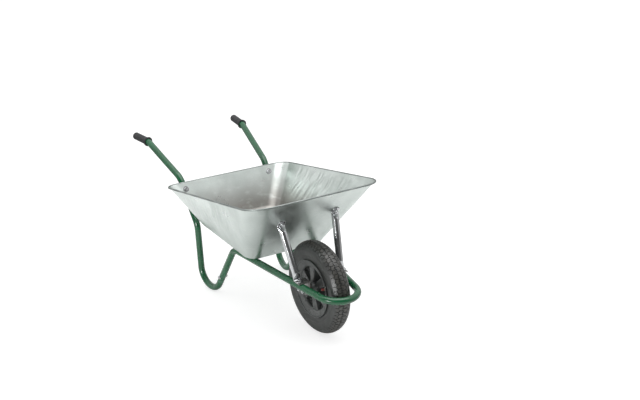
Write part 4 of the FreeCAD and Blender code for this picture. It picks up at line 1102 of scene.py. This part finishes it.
def tyre():
    """Carcass with raised sidewall rings and a tread of small blocks between zigzag grooves."""
    columns = tread_columns()
    belly, half_width, seat = s("tyre_belly_radius"), s("tyre_half_width"), s("bead_seat_radius")
    half_height = s("tyre_radius") - belly
    neck_radius, neck_width = s("rim_lip_radius") + s("neck_gap"), half_width - s("neck_step")
    neck_start, neck_run, swing, wall_inset = 24, 18, 3.4, 0.6
    low = belly - half_height * math.sin(math.radians(neck_start))
    wide = half_width * math.cos(math.radians(neck_start))
    raised_rings = {120.5: (1.4, 0.9), 126.0: (0.9, 0.5), 151.0: (0.8, 0.5), 160.5: (1.6, 0.8)}
    rows = []
    for turn, row, depth, share in tyre_lines():
        ring = []
        for theta, parity, phase in columns:
            angle = math.radians(turn + swing * share * (4 * abs(phase - 0.5) - 1))
            radius = belly + half_height * math.sin(angle)
            width = half_width * math.cos(angle)
            if turn < -neck_start or turn > 180 + neck_start:
                # the lower sidewall runs in to the neck at the rim
                past = ((turn - 180 if turn > 180 else -turn) - neck_start) / neck_run
                radius = low + (neck_radius - low) * past
                width = math.copysign(wide + (neck_width - wide) * past, width)
            sunk = max(depth, cut_in_row(row, parity))
            lift = 0.0
            for at, (spread, height) in raised_rings.items():
                if row is None and not depth and abs(radius - at) < 2 * spread:
                    lift = height * math.cos((radius - at) / spread * math.pi / 4) ** 2
            normal = unit([math.sin(angle) * half_width, math.cos(angle) * half_height])
            radius += normal[0] * (0.3 * lift - sunk)
            width -= normal[1] * sunk
            width += math.copysign(wall_inset * lift, width) - math.copysign(wall_inset, width)
            ring.append(tyre_point(theta, radius, width))
        rows.append(ring)
    lining = [[tyre_point(theta, radius, width) for theta, _, _ in columns]
              for radius, width in ((seat + 0.5, 24), (seat + 3, neck_width - 3),
                                    (seat + 3, 3 - neck_width), (seat + 0.5, -24))]
    piece("tyre_skin", stacked(lining[:2] + rows + lining[2:], False, False), "tyre_rubber",
          "wheel", ["tyre"], sharp=math.radians(38))


def tyre_point(theta, radius, width):
    return on_axle(width, 1) + point(math.cos(theta) * radius, 0, math.sin(theta) * radius)


def valve():
    """The leaning valve stem and its ribbed cap."""
    turn, lean = s("valve_turn"), math.radians(s("valve_lean"))
    inward = wheel_point(turn, 0) - wheel_point(turn, 1)
    direction = unit(inward * math.cos(lean) - Y * math.sin(lean))
    base = wheel_point(turn, s("valve_base_radius"), s("valve_base_across"))
    radius, cap, length = s("valve_radius"), s("valve_cap_radius"), s("valve_length")
    sleeve, rib_depth, rib_count = 26, 0.3, 16

    def ribbed(angle, r, height):
        wave = smooth_step(0.5 + 1.5 * math.cos(rib_count * angle))
        return r - rib_depth * wave if r > cap - 1 else r

    profile = softened([(radius, 0), (radius, sleeve), (radius - 0.8, sleeve + 2),
                        (radius - 0.8, length)], 0.5)
    piece("valve_stem_skin", stacked(turned(base, direction, profile, 40)), "valve_brass", "wheel",
          ["valve_stem"])
    top = s("valve_cap_length")
    profile = softened([(cap - 0.2, 0), (cap, 0.4), (cap, top - 2.5), (cap - 1.6, top - 0.3),
                        (1.0, top)], 0.6)
    start = base + direction * (length - s("valve_cap_grip"))
    piece("valve_cap_skin", stacked(turned(start, direction, profile, 96, ribbed)), "red_plastic",
          "wheel", ["valve_cap"])


# ---------------------------------------------------------------- stage

# Places and sizes in metres, roll in degrees, lens and sensor in millimetres. Sky shades and the
# floor go between (measure, grey) pairs; a light is its place, aim, size and power.
STAGE = {
    "target": (0.53802, -0.04876, 0.57287),
    "camera": (3.45537, -1.90992, 1.88072),
    "roll": -0.777,
    "lens": 58.227,
    "sensor": 36.0,
    "sky_shades": [((0.80, -0.55, 0.10), (0.0, 1.10), (0.62, 0.16)),
                   ((0, 0, 1), (0.0, 0.62), (0.9, 1.0))],
    "floor": ((0.7, 0.90), (1.7, 0.38)),
    "floor_reach": 400.0,
    "floor_grey": 0.45,
    "floor_glow": 0.72,
    "lights": {
        "top": ((0.45, 0.0, 3.4), (0.2, 0.0, 0.3), (3.4, 3.2), 64),
        "low": ((1.6, -2.7, 0.55), (0.0, -0.1, 0.12), (0.7, 0.5), 32),
        "front_left": ((2.9, 2.3, 2.3), (-0.1, 0, 0.4), (1.6, 1.2), 1.6),
        "behind_right": ((-2.8, -2.2, 1.4), (0.1, 0.1, 0.4), (1.3, 0.9), 2.0),
    },
}


def camera():
    target, place = np.array(STAGE["target"]), np.array(STAGE["camera"])
    back = unit(place - target)
    right = unit(np.cross(Z, back))
    up = np.cross(back, right)
    c, d = math.cos(math.radians(STAGE["roll"])), math.sin(math.radians(STAGE["roll"]))
    right, up = c * right + d * up, -d * right + c * up
    data = bpy.data.cameras.new("camera")
    data.lens = STAGE["lens"]
    data.sensor_width = STAGE["sensor"]
    eye = bpy.data.objects.new("camera", data)
    matrix = np.eye(4)
    matrix[:3] = np.column_stack([right, up, back, place])
    bpy.context.scene.collection.objects.link(eye)
    eye.matrix_world = Matrix([list(row) for row in matrix])
    bpy.context.scene.camera = eye


def area_light(name, place, aim, size, power):
    data = bpy.data.lights.new(name, "AREA")
    data.shape = "RECTANGLE"
    data.size, data.size_y = size
    data.energy = power
    lamp = bpy.data.objects.new(name, data)
    lamp.location = place
    direction = Vector(aim) - Vector(place)
    lamp.rotation_euler = direction.to_track_quat("-Z", "Y").to_euler()
    bpy.context.scene.collection.objects.link(lamp)


def shaded(tree, output, operation, start, end, direction=None):
    """A grey that goes smoothly from start to end, which are (measure, grey) pairs.

    The measure is the length of a texture coordinate, or how far it points along a direction.
    """
    place = tree.nodes.new("ShaderNodeTexCoord")
    measure = tree.nodes.new("ShaderNodeVectorMath")
    measure.operation = operation
    if direction:
        measure.inputs[1].default_value = direction
    tree.links.new(place.outputs[output], measure.inputs[0])
    shade = tree.nodes.new("ShaderNodeMapRange")
    shade.interpolation_type = "SMOOTHSTEP"
    for name, value in (("From Min", start[0]), ("From Max", end[0]),
                        ("To Min", start[1]), ("To Max", end[1])):
        shade.inputs[name].default_value = value
    tree.links.new(measure.outputs["Value"], shade.inputs["Value"])
    return shade.outputs["Result"]


def sky(scene):
    """A soft sky: brightest overhead, dimmer at the horizon and darker behind the camera."""
    world = bpy.data.worlds.new("studio")
    world.use_nodes = True
    tree = world.node_tree
    together = tree.nodes.new("ShaderNodeMath")
    together.operation = "MULTIPLY"
    for socket, (direction, start, end) in zip(together.inputs, STAGE["sky_shades"]):
        tree.links.new(shaded(tree, "Generated", "DOT_PRODUCT", start, end, direction), socket)
    background = tree.nodes["Background"].inputs
    background["Color"].default_value = (1, 1, 1, 1)
    tree.links.new(together.outputs[0], background["Strength"])
    scene.world = world


def pale_floor(scene):
    """A wide pale floor: seen nearly white, but no brighter to the object than a real one."""
    reach, grey, glow = STAGE["floor_reach"], STAGE["floor_grey"], STAGE["floor_glow"]
    material = bpy.data.materials.new("pale_floor")
    material.use_nodes = True
    tree = material.node_tree
    seen = tree.nodes["Principled BSDF"]
    for name, value in (("Base Color", (grey, grey, grey, 1)), ("Roughness", 0.9),
                        ("Emission Color", (1, 1, 1, 1)), ("Emission Strength", glow)):
        seen.inputs[name].default_value = value
    lit = tree.nodes.new("ShaderNodeBsdfDiffuse")
    tree.links.new(shaded(tree, "Object", "LENGTH", *STAGE["floor"]), lit.inputs["Color"])
    rays = tree.nodes.new("ShaderNodeLightPath")
    mixed = tree.nodes.new("ShaderNodeMixShader")
    for source, socket in zip((rays.outputs["Is Camera Ray"], lit.outputs[0], seen.outputs[0]),
                              mixed.inputs):
        tree.links.new(source, socket)
    tree.links.new(mixed.outputs[0], tree.nodes["Material Output"].inputs["Surface"])
    mesh = bpy.data.meshes.new("floor")
    corners = [(-reach, -reach, 0), (reach, -reach, 0), (reach, reach, 0), (-reach, reach, 0)]
    mesh.from_pydata(corners, [], [(0, 1, 2, 3)])
    mesh.materials.append(material)
    floor = bpy.data.objects.new("floor", mesh)
    scene.collection.objects.link(floor)


def studio():
    """Plain soft studio light."""
    scene = bpy.context.scene
    scene.view_settings.view_transform = "Standard"
    sky(scene)
    pale_floor(scene)
    for name, (place, aim, size, power) in STAGE["lights"].items():
        area_light(name, place, aim, size, power)


frame_tubes()
grips()
pan()
stays()
fasteners()
axle_parts()
wheel_body()
tyre()
valve()
assign(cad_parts["inner_tube"], MATERIALS["tube_rubber"])
camera()
studio()
